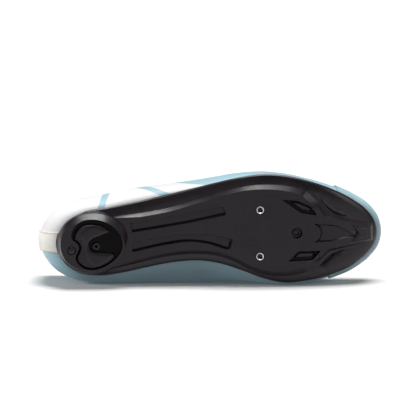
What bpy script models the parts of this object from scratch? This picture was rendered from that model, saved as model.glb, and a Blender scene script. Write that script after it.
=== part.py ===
"""Road cycling shoe for the right foot, lying on its inner side with the sole facing -Y.

The shoe is worked out in its own frame, in millimetres: x runs from the sole's heel end to
the toe, y towards the inner side of the foot, z up from the ground that the sole would stand
on. At the end the whole shoe is turned onto its side and set down on three points, so that
z = 0 is the floor that it lies on.
"""

import math

import bmesh
import bpy
import numpy as np
from mathutils import Matrix, Vector
from mathutils.geometry import delaunay_2d_cdt

MM = 0.001

# Driving dimensions, in millimetres
SOLE_LENGTH = 262.0
BALL_WIDTH = 89.0
INSTEP_HEIGHT = 86.0
HEEL_HEIGHT = 16.0
GAP = 0.3

# Outsole plate
RAIL_HEIGHT = 3.4
RAIL_RUN = 2.0
EDGE_CUP = 1.5
EDGE_CUP_WIDTH = 6.0
CHANNEL_DEPTH = 2.2
POCKET_DEPTH = 2.0
NOSE_CHANNEL_DEPTH = 1.6
CREASE_DEPTH = 1.1
WALL_RUN = 0.7
STEEP_RUN = 0.15
PLATE_GRID = 11.0
PLATE_SIDES = 96
TREAD_GRID = 6.0
TREAD_SPACING = 4.2
INSOLE_GRID = 14.0
LOOP_SPACING = 7.0
MERGE = 0.00001

# Heel drum and its tread
HEEL_AT = (11.03, 8.99)
DRUM_LENGTH = 52.4
DRUM_WIDTH = 45.6
DRUM_RUN = 2.8
DRUM_MARGIN = 2.2
TREAD_POCKET_DEPTH = 5.0
TREAD_THICKNESS = 5.5
TREAD_HOLLOW = 2.6
PEG_RADIUS = 3.1
PEG_HEIGHT = 3.2
SCREW_RADIUS = 3.0
SCREW_HEIGHT = 1.6
SCREW_SOCKET = 1.5

# Toe tread
TOE_POCKET_DEPTH = 1.0
TOE_TREAD_THICKNESS = 2.2
TOE_TREAD_LIP = 0.8

# Cleat nuts: one ahead, two side by side behind it
CLEAT_ALONG = 62.37
CLEAT_SPREAD = 37.6
CLEAT_REACH = 30.0
NUT_RADIUS = 3.3
NUT_BORE = 2.1
NUT_HEIGHT = 3.6
NUT_POCKET_DEPTH = 4.0
FRONT_NUT_HEIGHT = 2.4
FRONT_POCKET_RADIUS = 4.3

# Upper
WALL = 2.0
COLLAR_PADDING = 2.6
FEATHER_INSET = 0.6
WIDEST_AT = 0.3
UPPER_COLUMNS = 78
UPPER_LEVELS_BELOW = 5
UPPER_LEVELS_ABOVE = 11

# Pieces on and in the upper
CAP_THICKNESS = 1.1
CAP_REACH = 0.52
CAP_FALL = 0.3
CAP_ROWS = (11.6, 20.45)
STRIP_WIDTH = 13.6
STRIP_THICKNESS = 0.9
STRIP_TOP = 0.9
INSOLE_THICKNESS = 3.0
INSOLE_INSET = 3.4
TONGUE_THICKNESS = 2.6
TONGUE_RISE = 20.0
STRAP_THICKNESS = 1.8
STRAP_CROWN = 5.0
STRAP_LEAVES = 0.93

# Side profile of the sole: position along it in percent of its length, then heights in
# percent of the heel height: the underside of the raised plateau, and the top of the plate.
PROFILE = (
    # along, plateau, top
    (0.0, 56.0, 100.0),
    (20.0, 56.0, 100.0),
    (30.5, 57.0, 99.0),
    (40.0, 50.0, 90.0),
    (49.5, 30.0, 70.0),
    (57.0, 7.0, 53.0),
    (61.0, 0.0, 48.0),
    (76.5, 0.0, 48.0),
    (82.0, 8.0, 55.0),
    (90.0, 38.0, 86.0),
    (95.5, 72.0, 120.0),
    (100.0, 106.0, 152.0),
)

# The shoe all the way round, from the heel's back by the outer side to the toe and home by
# the inner side. edge is the sole's outline; bulge is where the upper is widest, out from
# the edge and up from it; top is the upper's rim, at the collar and the throat; lay is the
# way the upper leaves that rim, outwards and down. x is in percent of the sole's length, y
# and outward lengths in percent of the ball width, heights in percent of the instep height.
RING = (
    # edge x, edge y, bulge out, bulge up, top x, top y, top z, lay out, lay down
    (0.0, 9.0, 13.9, 28.0, -2.3, 9.1, 95.0, 1.0, 23.0),
    (2.6, -9.4, 12.4, 28.0, -1.2, -3.0, 93.5, 1.0, 22.0),
    (8.2, -18.7, 10.6, 28.0, 3.6, -13.8, 88.0, 1.0, 20.0),
    (15.8, -22.9, 10.6, 27.0, 11.8, -19.8, 79.0, 1.0, 18.0),
    (27.2, -29.7, 10.4, 25.0, 20.8, -21.0, 75.0, 1.5, 17.0),
    (34.7, -34.7, 8.4, 23.5, 27.5, -18.2, 79.0, 3.0, 16.0),
    (42.0, -39.9, 6.0, 22.0, 32.8, -13.6, 87.5, 9.0, 13.0),
    (49.3, -45.4, 4.2, 21.0, 37.0, -8.6, 96.5, 18.0, 6.0),
    (56.6, -50.4, 3.0, 20.0, 43.0, -7.4, 93.0, 20.0, 4.5),
    (63.9, -53.2, 1.8, 18.5, 49.5, -7.4, 85.5, 20.0, 4.5),
    (71.0, -51.5, 1.6, 17.5, 55.2, -7.8, 79.5, 21.0, 4.5),
    (78.5, -46.0, 2.2, 16.5, 59.2, -7.6, 75.3, 24.0, 6.0),
    (86.0, -37.8, 3.4, 15.0, 61.5, -6.0, 72.7, 30.0, 9.0),
    (92.0, -28.6, 4.6, 14.0, 62.6, -4.2, 71.4, 38.0, 12.0),
    (96.3, -19.4, 5.4, 13.3, 63.2, -2.4, 70.7, 45.0, 14.5),
    (99.1, -8.8, 5.7, 13.0, 63.4, -0.9, 70.4, 49.0, 15.5),
    (100.0, 2.2, 5.6, 12.8, 63.5, 0.7, 70.3, 50.0, 16.0),
    (99.2, 12.0, 5.6, 13.0, 63.4, 2.3, 70.4, 49.0, 15.5),
    (96.6, 21.3, 5.4, 13.3, 63.2, 3.8, 70.7, 45.0, 14.5),
    (91.8, 30.9, 5.0, 14.0, 62.6, 5.7, 71.4, 38.0, 12.0),
    (84.5, 39.0, 4.2, 11.0, 61.5, 7.9, 72.8, 30.0, 9.0),
    (77.0, 43.8, 3.6, 8.0, 59.2, 9.8, 75.5, 24.0, 6.0),
    (70.5, 45.4, 3.6, 6.5, 55.2, 11.0, 80.0, 21.0, 4.5),
    (64.0, 41.4, 6.4, 9.0, 50.0, 11.9, 86.0, 20.0, 4.5),
    (57.8, 34.6, 12.0, 14.0, 43.5, 14.0, 94.0, 20.0, 4.5),
    (51.5, 28.5, 18.6, 19.0, 37.2, 18.2, 99.0, 17.0, 6.5),
    (45.0, 25.3, 22.6, 20.5, 33.2, 29.0, 92.5, 8.0, 14.0),
    (37.0, 26.3, 22.2, 20.5, 28.0, 39.5, 84.0, 3.0, 17.0),
    (28.5, 30.8, 17.5, 20.5, 20.8, 43.6, 79.0, 1.5, 18.0),
    (20.0, 36.0, 12.6, 20.5, 12.6, 41.6, 82.0, 1.0, 19.0),
    (12.8, 38.4, 9.8, 22.0, 5.8, 35.0, 87.5, 1.0, 20.0),
    (6.5, 35.3, 9.8, 25.0, 1.6, 27.6, 91.5, 1.0, 21.0),
    (1.8, 24.5, 11.8, 27.0, -1.4, 19.6, 94.0, 1.0, 22.0),
)

# Raised plateau ahead of the heel, seen from below, in percent of the sole's length and of
# the ball width. The outer side runs forward to the toe, the inner side runs back again.
PLATEAU_OUTER = (
    (26.0, -18.0), (33.4, -22.0), (44.1, -31.0), (52.3, -38.6), (59.5, -43.0),
    (65.0, -43.8), (71.8, -42.0), (76.5, -38.6), (80.0, -28.6), (83.0, -16.4),
    (89.8, -11.6), (98.4, -6.6),
)
PLATEAU_INNER = (
    (98.6, 8.8), (91.5, 12.8), (84.0, 17.2), (80.8, 26.5), (77.2, 35.6),
    (71.5, 39.0), (63.8, 37.4), (59.5, 33.0), (55.0, 26.2), (49.9, 20.9),
    (41.4, 19.0), (33.7, 21.4), (25.5, 26.6),
)

# Long channels in the plateau under the arch
OUTER_CHANNEL = (
    (23.1, -0.6), (27.5, -2.6), (41.3, -9.5), (52.2, -16.8), (50.8, -23.8),
    (41.3, -18.4), (27.5, -11.5), (22.6, -9.2),
)
INNER_CHANNEL = (
    (22.9, 17.6), (33.0, 11.1), (40.0, 8.2), (46.8, 10.1), (53.0, 15.8),
    (54.0, 5.9), (48.1, 1.9), (40.0, 1.3), (30.3, 4.6), (23.7, 7.9),
)

# Slanted pockets either side of the front cleat nut
OUTER_POCKET = ((69.4, -29.6), (75.0, -17.6), (80.5, -15.6), (76.6, -24.4))
INNER_POCKET = ((71.1, 25.8), (78.6, 24.0), (81.3, 16.7), (74.4, 16.4))

# Creases where the toe's wings meet the plateau
OUTER_CREASE = ((79.6, -37.0), (82.6, -24.4), (85.2, -17.2), (91.2, -13.6), (85.6, -19.6), (82.9, -26.0))
INNER_CREASE = ((81.3, 31.6), (86.4, 21.8), (94.0, 15.4), (85.6, 18.9))

# Centre channel of the nose; its back end is a round bite
NOSE_BITE_AT = (78.5, 0.3)
NOSE_BITE_RADIUS = 7.4
NOSE_CHANNEL = ((85.5, 7.6), (91.0, 5.0), (92.2, 0.3), (90.6, -5.6), (85.5, -7.4))

TOE_TREAD = ((91.6, 8.4), (97.0, 6.2), (96.9, -3.6), (91.4, -6.4), (93.4, 0.3))

# Rim of the heel tread in the drum's own shares, from the bite for the peg, by the inner
# side and the front to the outer side
TREAD_RIM = (
    (-61.0, -12.0), (-52.0, 1.0), (-50.0, 20.0), (-54.0, 46.0), (-36.0, 74.0),
    (-6.0, 84.0), (34.0, 70.0), (66.0, 40.0), (80.0, 4.0), (72.0, -28.0),
    (46.0, -58.0), (8.0, -76.0), (-32.0, -70.0), (-54.0, -44.0),
)
PEG_AT = (-70.0, 21.0)
SCREW_AT = (6.5, 7.0)
TREAD_NOTCH = (
    (3.6, 27.0), (-6.4, 20.0), (-11.0, 7.0), (-6.4, -6.0), (3.6, -13.0), (52.0, -34.0),
    (66.0, -20.0), (70.0, 6.0), (60.0, 30.0), (30.0, 29.0),
)
TREAD_CRESCENT = (
    (-50.0, -34.0), (-34.0, -56.0), (-4.0, -69.0), (30.0, -60.0), (52.0, -46.0),
    (40.0, -42.0), (20.0, -50.0), (-6.0, -54.0), (-28.0, -44.0), (-40.0, -28.0),
)

# Straps: ring rows where they leave the upper and where they end, on the outer and the inner
# side, then width and how far up the skin each end lies
STRAPS = (
    # name, outer rim, outer end, inner rim, inner end, width, outer level, inner level
    ("strap_upper", 8.15, 7.3, 23.95, 24.75, 26.0, 0.60, 0.66),
    ("strap_lower", 9.9, 9.0, 22.1, 22.9, 21.0, 0.60, 0.64),
)


def percent(pairs, first, second):
    """Pairs in percent of two sizes, as an array in millimetres."""
    return np.array(pairs, float) * (first / 100.0, second / 100.0)


def hermite(knots, values, at):
    """Smooth curve through values at rising knots, one value or row for each position."""
    knots, values, at = (np.asarray(a, float) for a in (knots, values, at))
    flat = values.reshape(len(knots), -1)
    step = np.diff(knots)[:, None]
    slope = np.diff(flat, axis=0) / step
    tangent = np.empty_like(flat)
    tangent[1:-1] = (slope[:-1] * step[1:] + slope[1:] * step[:-1]) / (step[:-1] + step[1:])
    tangent[0], tangent[-1] = slope[0], slope[-1]
    i = np.clip(np.searchsorted(knots, at, side="right") - 1, 0, len(knots) - 2)
    width = step[i]
    u = ((at - knots[i])[:, None]) / width
    made = (
        (2 * u**3 - 3 * u**2 + 1) * flat[i]
        + (u**3 - 2 * u**2 + u) * width * tangent[i]
        + (3 * u**2 - 2 * u**3) * flat[i + 1]
        + (u**3 - u**2) * width * tangent[i + 1]
    )
    return made.reshape((len(at),) + values.shape[1:])


def profile(x):
    """Heights of the plateau's underside and of the plate's top at positions along the sole."""
    rows = np.array(PROFILE)
    x = np.atleast_1d(np.asarray(x, float))
    heights = hermite(rows[:, 0] * SOLE_LENGTH / 100, rows[:, 1:] * HEEL_HEIGHT / 100, x)
    flat = (x > rows[6, 0] * SOLE_LENGTH / 100) & (x < rows[7, 0] * SOLE_LENGTH / 100)
    heights[flat] = rows[6, 1:] * HEEL_HEIGHT / 100
    return heights[:, 0], heights[:, 1]


def ring_values():
    """The ring table in millimetres, and each row's place along the sole's edge."""
    length, width, height = SOLE_LENGTH / 100, BALL_WIDTH / 100, INSTEP_HEIGHT / 100
    rows = np.array(RING) * (length, width, width, height, length, width, height, width, height)
    chord = np.linalg.norm(np.diff(rows[:, :2], axis=0, append=rows[:1, :2]), axis=1)
    return rows, np.concatenate([[0.0], np.cumsum(chord)])


def ring_at(place):
    """The ring's nine values at any place along the edge, smoothly and all the way round."""
    rows, at = ring_values()
    turn, n = at[-1], len(rows)
    wrapped = np.concatenate([rows[-3:], rows, rows[:4]])
    knots = np.concatenate([at[n - 3 : n] - turn, at, at[1:4] + turn])
    return hermite(knots, wrapped, np.mod(np.asarray(place, float), turn))


def ring_place(row):
    """Place along the edge of a ring row, whole or in between."""
    at = ring_values()[1]
    return np.interp(row, np.arange(len(at)), at)


def edge_at(place, inset):
    """Points of the sole's outline moved inwards, and the outward direction there."""
    step = 0.5
    ahead = ring_at(np.asarray(place) + step)[:, :2]
    behind = ring_at(np.asarray(place) - step)[:, :2]
    along = ahead - behind
    along /= np.linalg.norm(along, axis=1)[:, None]
    outward = np.stack([along[:, 1], -along[:, 0]], axis=1)
    return ring_at(place)[:, :2] - outward * inset, outward


def bezier(p0, p1, p2, p3, t):
    """Point of a cubic curve; t has one value for each row of the points."""
    t = t[:, None]
    return (1 - t) ** 3 * p0 + 3 * (1 - t) ** 2 * t * p1 + 3 * (1 - t) * t**2 * p2 + t**3 * p3


def skin(place, t):
    """The upper's outer surface: t runs from 0 at the sole's edge by the bulge to 1 at the rim."""
    place, t = (a.ravel() for a in np.broadcast_arrays(np.asarray(place, float), np.asarray(t, float)))
    ring = ring_at(place)
    foot_xy, outward = edge_at(place, FEATHER_INSET)
    foot_z = profile(foot_xy[:, 0])[1] + GAP
    foot = np.column_stack([foot_xy, foot_z])
    out3 = np.column_stack([outward, np.zeros(len(place))])
    up3 = np.array([0.0, 0.0, 1.0])
    out, up = ring[:, 2:3], ring[:, 3:4]
    bulge = foot + out3 * out + up3 * up
    top = ring[:, 4:7]
    away = (bulge - top) * (1, 1, 0)
    away /= np.maximum(np.linalg.norm(away, axis=1)[:, None], 1e-6)
    lift = 0.5 * (top[:, 2:3] - bulge[:, 2:3])
    low = bezier(foot, foot + out3 * out * 0.6 + up3 * up * 0.06, bulge - up3 * up * 0.5, bulge,
                 np.clip(t / WIDEST_AT, 0, 1))
    high = bezier(bulge, bulge + up3 * lift, top + away * ring[:, 7:8] - up3 * ring[:, 8:9], top,
                  np.clip((t - WIDEST_AT) / (1 - WIDEST_AT), 0, 1))
    return np.where((t < WIDEST_AT)[:, None], low, high)


def offset_skin(place, t, distance):
    """Points at a distance out from the upper's outer surface, or in from it below zero."""
    place, t = (a.ravel() for a in np.broadcast_arrays(np.asarray(place, float), np.asarray(t, float)))
    dt = 0.004
    along = skin(place + 0.6, t) - skin(place - 0.6, t)
    rising = skin(place, np.minimum(t + dt, 1.0)) - skin(place, np.maximum(t - dt, 0.0))
    normal = np.cross(along, rising)
    normal /= np.linalg.norm(normal, axis=1)[:, None]
    return skin(place, t) + normal * np.asarray(distance, float).reshape(-1, 1)


def wall_at(place, t):
    """Thickness of the upper's wall, padded towards the collar behind the throat."""
    turn = ring_values()[1][-1]
    from_heel = np.abs(np.mod(place + turn / 2, turn) - turn / 2)
    collar = np.clip((ring_place(7.0) - from_heel) / 30.0, 0, 1)
    near_rim = np.clip((t - 0.72) / 0.2, 0, 1)
    return WALL + COLLAR_PADDING * collar * near_rim**2 * (3 - 2 * near_rim)


def material(name, colour, roughness, metallic=0.0):
    """A plain finish for one kind of piece."""
    made = bpy.data.materials.new(name)
    made.use_nodes = True
    shader = made.node_tree.nodes["Principled BSDF"]
    shader.inputs["Base Color"].default_value = (*colour, 1.0)
    shader.inputs["Roughness"].default_value = roughness
    shader.inputs["Metallic"].default_value = metallic
    return made


def add_piece(name, points, faces, finish):
    """A named object from points in millimetres in the shoe's frame, shaded smooth."""
    mesh = bpy.data.meshes.new(name)
    mesh.from_pydata([tuple(p) for p in np.asarray(points, float) * MM], [], [tuple(f) for f in faces])
    mesh.validate()
    worked = bmesh.new()
    worked.from_mesh(mesh)
    bmesh.ops.triangulate(worked, faces=worked.faces)
    bmesh.ops.recalc_face_normals(worked, faces=worked.faces)
    worked.to_mesh(mesh)
    worked.free()
    mesh.materials.append(finish)
    mesh.shade_smooth()
    mesh.set_sharp_from_angle(angle=math.radians(34))
    piece = bpy.data.objects.new(name, mesh)
    bpy.context.scene.collection.objects.link(piece)
    return piece


def grid_faces(rows, columns, closed_columns=False):
    """Quads of a grid numbered row by row, which may close on itself across its columns."""
    last = columns if closed_columns else columns - 1
    return [
        (r * columns + c, r * columns + (c + 1) % columns,
         (r + 1) * columns + (c + 1) % columns, (r + 1) * columns + c)
        for r in range(rows - 1) for c in range(last)
    ]


def sheet_solid(outer, inner):
    """A closed wall between two grids of points of the same size, open at no edge."""
    rows, columns = outer.shape[:2]
    count = rows * columns
    faces = grid_faces(rows, columns)
    made = [f[::-1] for f in faces]
    made += [tuple(i + count for i in f) for f in faces]
    rim = (
        [(0, c) for c in range(columns)] + [(r, columns - 1) for r in range(1, rows)]
        + [(rows - 1, c) for c in range(columns - 2, -1, -1)] + [(r, 0) for r in range(rows - 2, 0, -1)]
    )
    around = [r * columns + c for r, c in rim]
    made += [(a, b, b + count, a + count) for a, b in zip(around, around[1:] + around[:1])]
    points = np.concatenate([outer.reshape(-1, 3), inner.reshape(-1, 3)])
    return points, made


def inset(loop, distance):
    """A closed loop moved inwards by the same distance at every side, with mitred corners."""
    ahead = np.roll(loop, -1, axis=0) - loop
    ahead /= np.linalg.norm(ahead, axis=1)[:, None]
    behind = np.roll(ahead, 1, axis=0)
    inward = np.stack([-ahead[:, 1], ahead[:, 0]], axis=1)
    before = np.stack([-behind[:, 1], behind[:, 0]], axis=1)
    turned = 1 if area(loop) > 0 else -1
    both = inward + before
    scale = 2 / np.maximum((both**2).sum(axis=1), 0.7)
    return loop + turned * both * scale[:, None] * distance


def area(loop):
    """Signed area of a closed loop."""
    x, y = loop[:, 0], loop[:, 1]
    return 0.5 * np.sum(x * np.roll(y, -1) - np.roll(x, -1) * y)


def inside(points, loop):
    """Which points lie inside a closed loop."""
    found = np.zeros(len(points), bool)
    for a, b in zip(loop, np.roll(loop, -1, axis=0)):
        crosses = (a[1] > points[:, 1]) != (b[1] > points[:, 1])
        with np.errstate(divide="ignore", invalid="ignore"):
            x = a[0] + (points[:, 1] - a[1]) * (b[0] - a[0]) / (b[1] - a[1])
        found ^= crosses & (points[:, 0] < x)
    return found


def distance_to(points, loop):
    """Distance of each point from a closed loop."""
    best = np.full(len(points), np.inf)
    for a, b in zip(loop, np.roll(loop, -1, axis=0)):
        side = b - a
        share = np.clip(((points - a) @ side) / max(side @ side, 1e-12), 0, 1)
        best = np.minimum(best, np.linalg.norm(points - a - share[:, None] * side, axis=1))
    return best


def depth_inside(points, loop):
    """How far each point lies inside a closed loop; nothing for points outside it."""
    return np.where(inside(points, loop), distance_to(points, loop), 0.0)


def grid_points(loop, spacing, clear_of):
    """Points of a grid inside a loop that keep well away from every given loop."""
    low, high = loop.min(axis=0), loop.max(axis=0)
    xs = np.arange(low[0] + spacing / 2, high[0], spacing)
    ys = np.arange(low[1] + spacing / 2, high[1], spacing)
    grid = np.array([(x, y) for x in xs for y in ys])
    grid = grid[inside(grid, loop)]
    for other in clear_of:
        grid = grid[distance_to(grid, other) > spacing * 0.42]
    return grid


def triangles_between(loops, free, rim):
    """A triangulation inside the rim that keeps every loop's sides, wherever they cross."""
    plan = np.concatenate([*loops, free])
    edges, start = [], 0
    for loop in loops:
        n = len(loop)
        edges += [(start + i, start + (i + 1) % n) for i in range(n)]
        start += n
    found = delaunay_2d_cdt([Vector(p) for p in plan], edges, [], 0, MERGE)
    plan = np.array([tuple(p) for p in found[0]])
    faces = np.array(found[2])
    corners = plan[faces]
    side_a, side_b = corners[:, 1] - corners[:, 0], corners[:, 2] - corners[:, 0]
    turned = side_a[:, 0] * side_b[:, 1] - side_a[:, 1] * side_b[:, 0]
    faces[turned < 0] = faces[turned < 0][:, ::-1]
    return plan, faces[inside(corners.mean(axis=1), rim) & (np.abs(turned) > MERGE)]


def outline_of(faces):
    """The vertices round the outside of a triangulation, in order."""
    sides = {(a, b) for f in faces.tolist() for a, b in zip(f, f[1:] + f[:1])}
    after = {a: b for a, b in sides if (b, a) not in sides}
    first = min(after)
    around, at = [first], after[first]
    while at != first:
        around.append(at)
        at = after[at]
    return around


def relief_solid(rim, steps, height, top_height, spacing, extra=()):
    """A plate whose underside is worked into steps.

    rim is the plate's outline. Each step is (loop, run, rise): its loop is where the wall
    starts, run how far in the wall ends and rise a function of the points for the height
    that it adds. height gives the plain underside and top_height the plain top.
    """
    loops = [rim]
    for loop, run, _ in steps:
        loops += [loop, inset(loop, run)]
    free = grid_points(rim, spacing, loops)
    if len(extra):
        keep = depth_inside(extra, steps[0][0]) == 0
        for loop in loops[1:]:
            keep &= distance_to(extra, loop) > 0.8
        free = np.concatenate([free, extra[keep]])
    plan, faces = triangles_between(loops, free, rim)
    under = height(plan)
    for loop, run, rise in steps:
        under += rise(plan) * np.clip(depth_inside(plan, loop) / run, 0, 1)
    around = outline_of(faces)
    edge = plan[around]
    top_plan, top_faces = triangles_between([edge], grid_points(edge, spacing, [edge]), edge)
    place = {tuple(np.round(p, 4)): i for i, p in enumerate(top_plan)}
    above = [place[tuple(np.round(p, 4))] + len(plan) for p in edge]
    made = [tuple(f[::-1]) for f in faces.tolist()]
    made += [tuple(i + len(plan) for i in f) for f in top_faces.tolist()]
    for i, j, k, m in zip(around, around[1:] + around[:1], above, above[1:] + above[:1]):
        made.append((i, j, m, k))
    points = np.concatenate([np.column_stack([plan, under]), np.column_stack([top_plan, top_height(top_plan)])])
    return points, made


def circle(centre, radius, count):
    """Points round a circle."""
    turn = np.linspace(0, 2 * math.pi, count, endpoint=False)
    return np.stack([centre[0] + radius * np.cos(turn), centre[1] + radius * np.sin(turn)], axis=1)


def rounded(points, spacing):
    """A closed loop through points as a smooth curve, with sides about a spacing long."""
    n = len(points)
    chord = np.linalg.norm(np.roll(points, -1, axis=0) - points, axis=1)
    at = np.concatenate([[0.0], np.cumsum(chord)])
    wrapped = np.concatenate([points[-3:], points, points[:4]])
    knots = np.concatenate([at[n - 3 : n] - at[-1], at, at[1:4] + at[-1]])
    count = max(8, int(round(at[-1] / spacing)))
    return hermite(knots, wrapped, np.linspace(0, at[-1], count, endpoint=False))


def with_sides(points, spacing, sharp=50.0):
    """A closed loop with real corners: smooth between the points that turn sharply."""
    n = len(points)
    ahead = np.roll(points, -1, axis=0) - points
    heading = np.arctan2(ahead[:, 1], ahead[:, 0])
    turn = np.degrees(np.abs(np.angle(np.exp(1j * (heading - np.roll(heading, 1))))))
    corners = [i for i in range(n) if turn[i] > sharp]
    if not corners:
        return rounded(points, spacing)
    made = []
    for a, b in zip(corners, corners[1:] + [corners[0] + n]):
        run = points[np.arange(a, b + 1) % n]
        at = np.concatenate([[0.0], np.cumsum(np.linalg.norm(np.diff(run, axis=0), axis=1))])
        count = max(1, int(round(at[-1] / spacing)))
        made.append(hermite(at, run, np.linspace(0, at[-1], count, endpoint=False)))
    return np.concatenate(made)


def heel_centre():
    """Centre of the heel drum."""
    return percent(HEEL_AT, SOLE_LENGTH, BALL_WIDTH)


def drum_point(share):
    """A point from shares of the drum's half length and half width, in percent."""
    return np.asarray(share, float) / 100 * (DRUM_LENGTH / 2, DRUM_WIDTH / 2) + heel_centre()


def drum_ellipse(grow, count):
    """The drum's outline at its foot, grown or shrunk by a distance."""
    turn = np.linspace(0, 2 * math.pi, count, endpoint=False)
    size = np.array([DRUM_LENGTH / 2 + grow, DRUM_WIDTH / 2 + grow])
    return np.stack([np.cos(turn), np.sin(turn)], axis=1) * size + heel_centre()


def plateau_loop():
    """The plateau and the foot of the heel drum as one closed outline."""
    outer = percent(PLATEAU_OUTER, SOLE_LENGTH, BALL_WIDTH)
    inner = percent(PLATEAU_INNER, SOLE_LENGTH, BALL_WIDTH)
    heel = drum_ellipse(DRUM_MARGIN, 60)
    turn = np.degrees(np.arctan2(heel[:, 1] - heel_centre()[1], heel[:, 0] - heel_centre()[0])) % 360
    heel = heel[(turn > 52) & (turn < 308)]
    runs = (outer[:8], outer[7:10], outer[9:], inner[:3], inner[2:5], inner[4:])
    rails = np.concatenate([with_ends(run, LOOP_SPACING)[k in (1, 2, 4, 5):] for k, run in enumerate(runs)])
    return np.concatenate([rails, heel])


def with_ends(points, spacing):
    """An open smooth run through points, both ends kept."""
    at = np.concatenate([[0.0], np.cumsum(np.linalg.norm(np.diff(points, axis=0), axis=1))])
    return hermite(at, points, np.linspace(0, at[-1], max(2, int(round(at[-1] / spacing)) + 1)))


def nose_channel_loop():
    """The nose's centre channel, whose back end is bitten round."""
    turn = np.radians(np.linspace(-75, 75, 7))
    bite = percent(NOSE_BITE_AT, SOLE_LENGTH, BALL_WIDTH) + NOSE_BITE_RADIUS * np.stack(
        [np.cos(turn), np.sin(turn)], axis=1)
    return np.concatenate([bite, with_ends(percent(NOSE_CHANNEL[:2], SOLE_LENGTH, BALL_WIDTH), LOOP_SPACING),
                           percent(NOSE_CHANNEL[2:], SOLE_LENGTH, BALL_WIDTH)])


def nut_places():
    """Centres of the cleat nuts: outer side, inner side, front."""
    half = CLEAT_SPREAD / 2
    x = CLEAT_ALONG * SOLE_LENGTH / 100
    return ((x, -half), (x, half), (x + CLEAT_REACH, 0.0))


def plate_underside(plan, rim):
    """The plate's wing, cupped up towards its edge."""
    near = np.clip(1 - distance_to(plan, rim) / EDGE_CUP_WIDTH, 0, 1)
    wing = profile(plan[:, 0])[0] + RAIL_HEIGHT
    return wing + EDGE_CUP * near**2


def plateau_rise(rim):
    """Height that the plateau adds to the wing, which also takes the cup away."""
    def rise(plan):
        return profile(plan[:, 0])[0] - plate_underside(plan, rim)
    return rise


def drum_rise(plan):
    """Height that the drum adds to the plateau: its tread face is flat on the ground."""
    return -profile(plan[:, 0])[0]


def constant(value):
    """A rise that is the same all over."""
    return lambda plan: np.full(len(plan), value)


def tread_loop(shrink):
    """Rim of the heel tread, moved in by a clearance."""
    return inset(rounded(drum_point(TREAD_RIM), TREAD_SPACING), shrink)


def toe_tread_loop(shrink):
    """Rim of the toe tread, moved in by a clearance."""
    return inset(percent(TOE_TREAD, SOLE_LENGTH, BALL_WIDTH), shrink)


def build_outsole(finish):
    """The moulded plate with its heel drum, rails, channels and pockets."""
    turn = ring_values()[1][-1]
    places = np.linspace(0, turn, PLATE_SIDES, endpoint=False)
    rim = edge_at(places, 0.0)[0]
    wings = np.concatenate([edge_at(places[::2], d)[0] for d in (EDGE_CUP_WIDTH / 2, EDGE_CUP_WIDTH)])
    steps = [
        (plateau_loop(), RAIL_RUN, plateau_rise(rim)),
        (drum_ellipse(0.0, 44), DRUM_RUN, drum_rise),
        (tread_loop(0.0), STEEP_RUN, constant(TREAD_POCKET_DEPTH)),
        (circle(drum_point(PEG_AT), PEG_RADIUS + GAP + STEEP_RUN, 14), STEEP_RUN, constant(PEG_HEIGHT)),
        (toe_tread_loop(0.0), STEEP_RUN, constant(TOE_POCKET_DEPTH)),
        (nose_channel_loop(), WALL_RUN, constant(NOSE_CHANNEL_DEPTH)),
    ]
    for loop in (OUTER_CHANNEL, INNER_CHANNEL):
        steps.append((with_sides(percent(loop, SOLE_LENGTH, BALL_WIDTH), LOOP_SPACING), WALL_RUN, constant(CHANNEL_DEPTH)))
    for loop in (OUTER_POCKET, INNER_POCKET):
        steps.append((percent(loop, SOLE_LENGTH, BALL_WIDTH), WALL_RUN, constant(POCKET_DEPTH)))
    for loop in (OUTER_CREASE, INNER_CREASE):
        steps.append((percent(loop, SOLE_LENGTH, BALL_WIDTH), STEEP_RUN * 2, constant(CREASE_DEPTH)))
    for centre, radius in zip(nut_places(), (NUT_RADIUS + GAP, NUT_RADIUS + GAP, FRONT_POCKET_RADIUS)):
        steps.append((circle(centre, radius + STEEP_RUN, 16), STEEP_RUN, constant(NUT_POCKET_DEPTH)))
    points, faces = relief_solid(
        rim, steps, lambda plan: plate_underside(plan, rim),
        lambda plan: profile(plan[:, 0])[1], PLATE_GRID, wings,
    )
    return add_piece("outsole", points, faces, finish)


def build_heel_tread(finish):
    """The replaceable rubber tread of the heel, screwed into the drum's pocket."""
    rim = tread_loop(GAP + STEEP_RUN)
    base = TREAD_POCKET_DEPTH - GAP
    steps = [
        (with_sides(drum_point(TREAD_NOTCH), TREAD_SPACING), WALL_RUN, constant(TREAD_HOLLOW)),
        (with_sides(drum_point(TREAD_CRESCENT), TREAD_SPACING), WALL_RUN, constant(TREAD_HOLLOW)),
    ]
    points, faces = relief_solid(
        rim, steps, constant(base - TREAD_THICKNESS), constant(base), TREAD_GRID,
    )
    return add_piece("heel_tread", points, faces, finish)


def build_toe_tread(finish):
    """The rubber pad under the tip of the toe."""
    rim = toe_tread_loop(GAP + STEEP_RUN)
    roof = lambda plan: profile(plan[:, 0])[0] + TOE_POCKET_DEPTH - 2 * GAP
    points, faces = relief_solid(
        rim, [(inset(rim, TOE_TREAD_LIP), WALL_RUN, constant(-TOE_TREAD_LIP / 2))],
        lambda plan: roof(plan) - TOE_TREAD_THICKNESS, roof, TREAD_GRID,
    )
    return add_piece("toe_tread", points, faces, finish)


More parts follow.
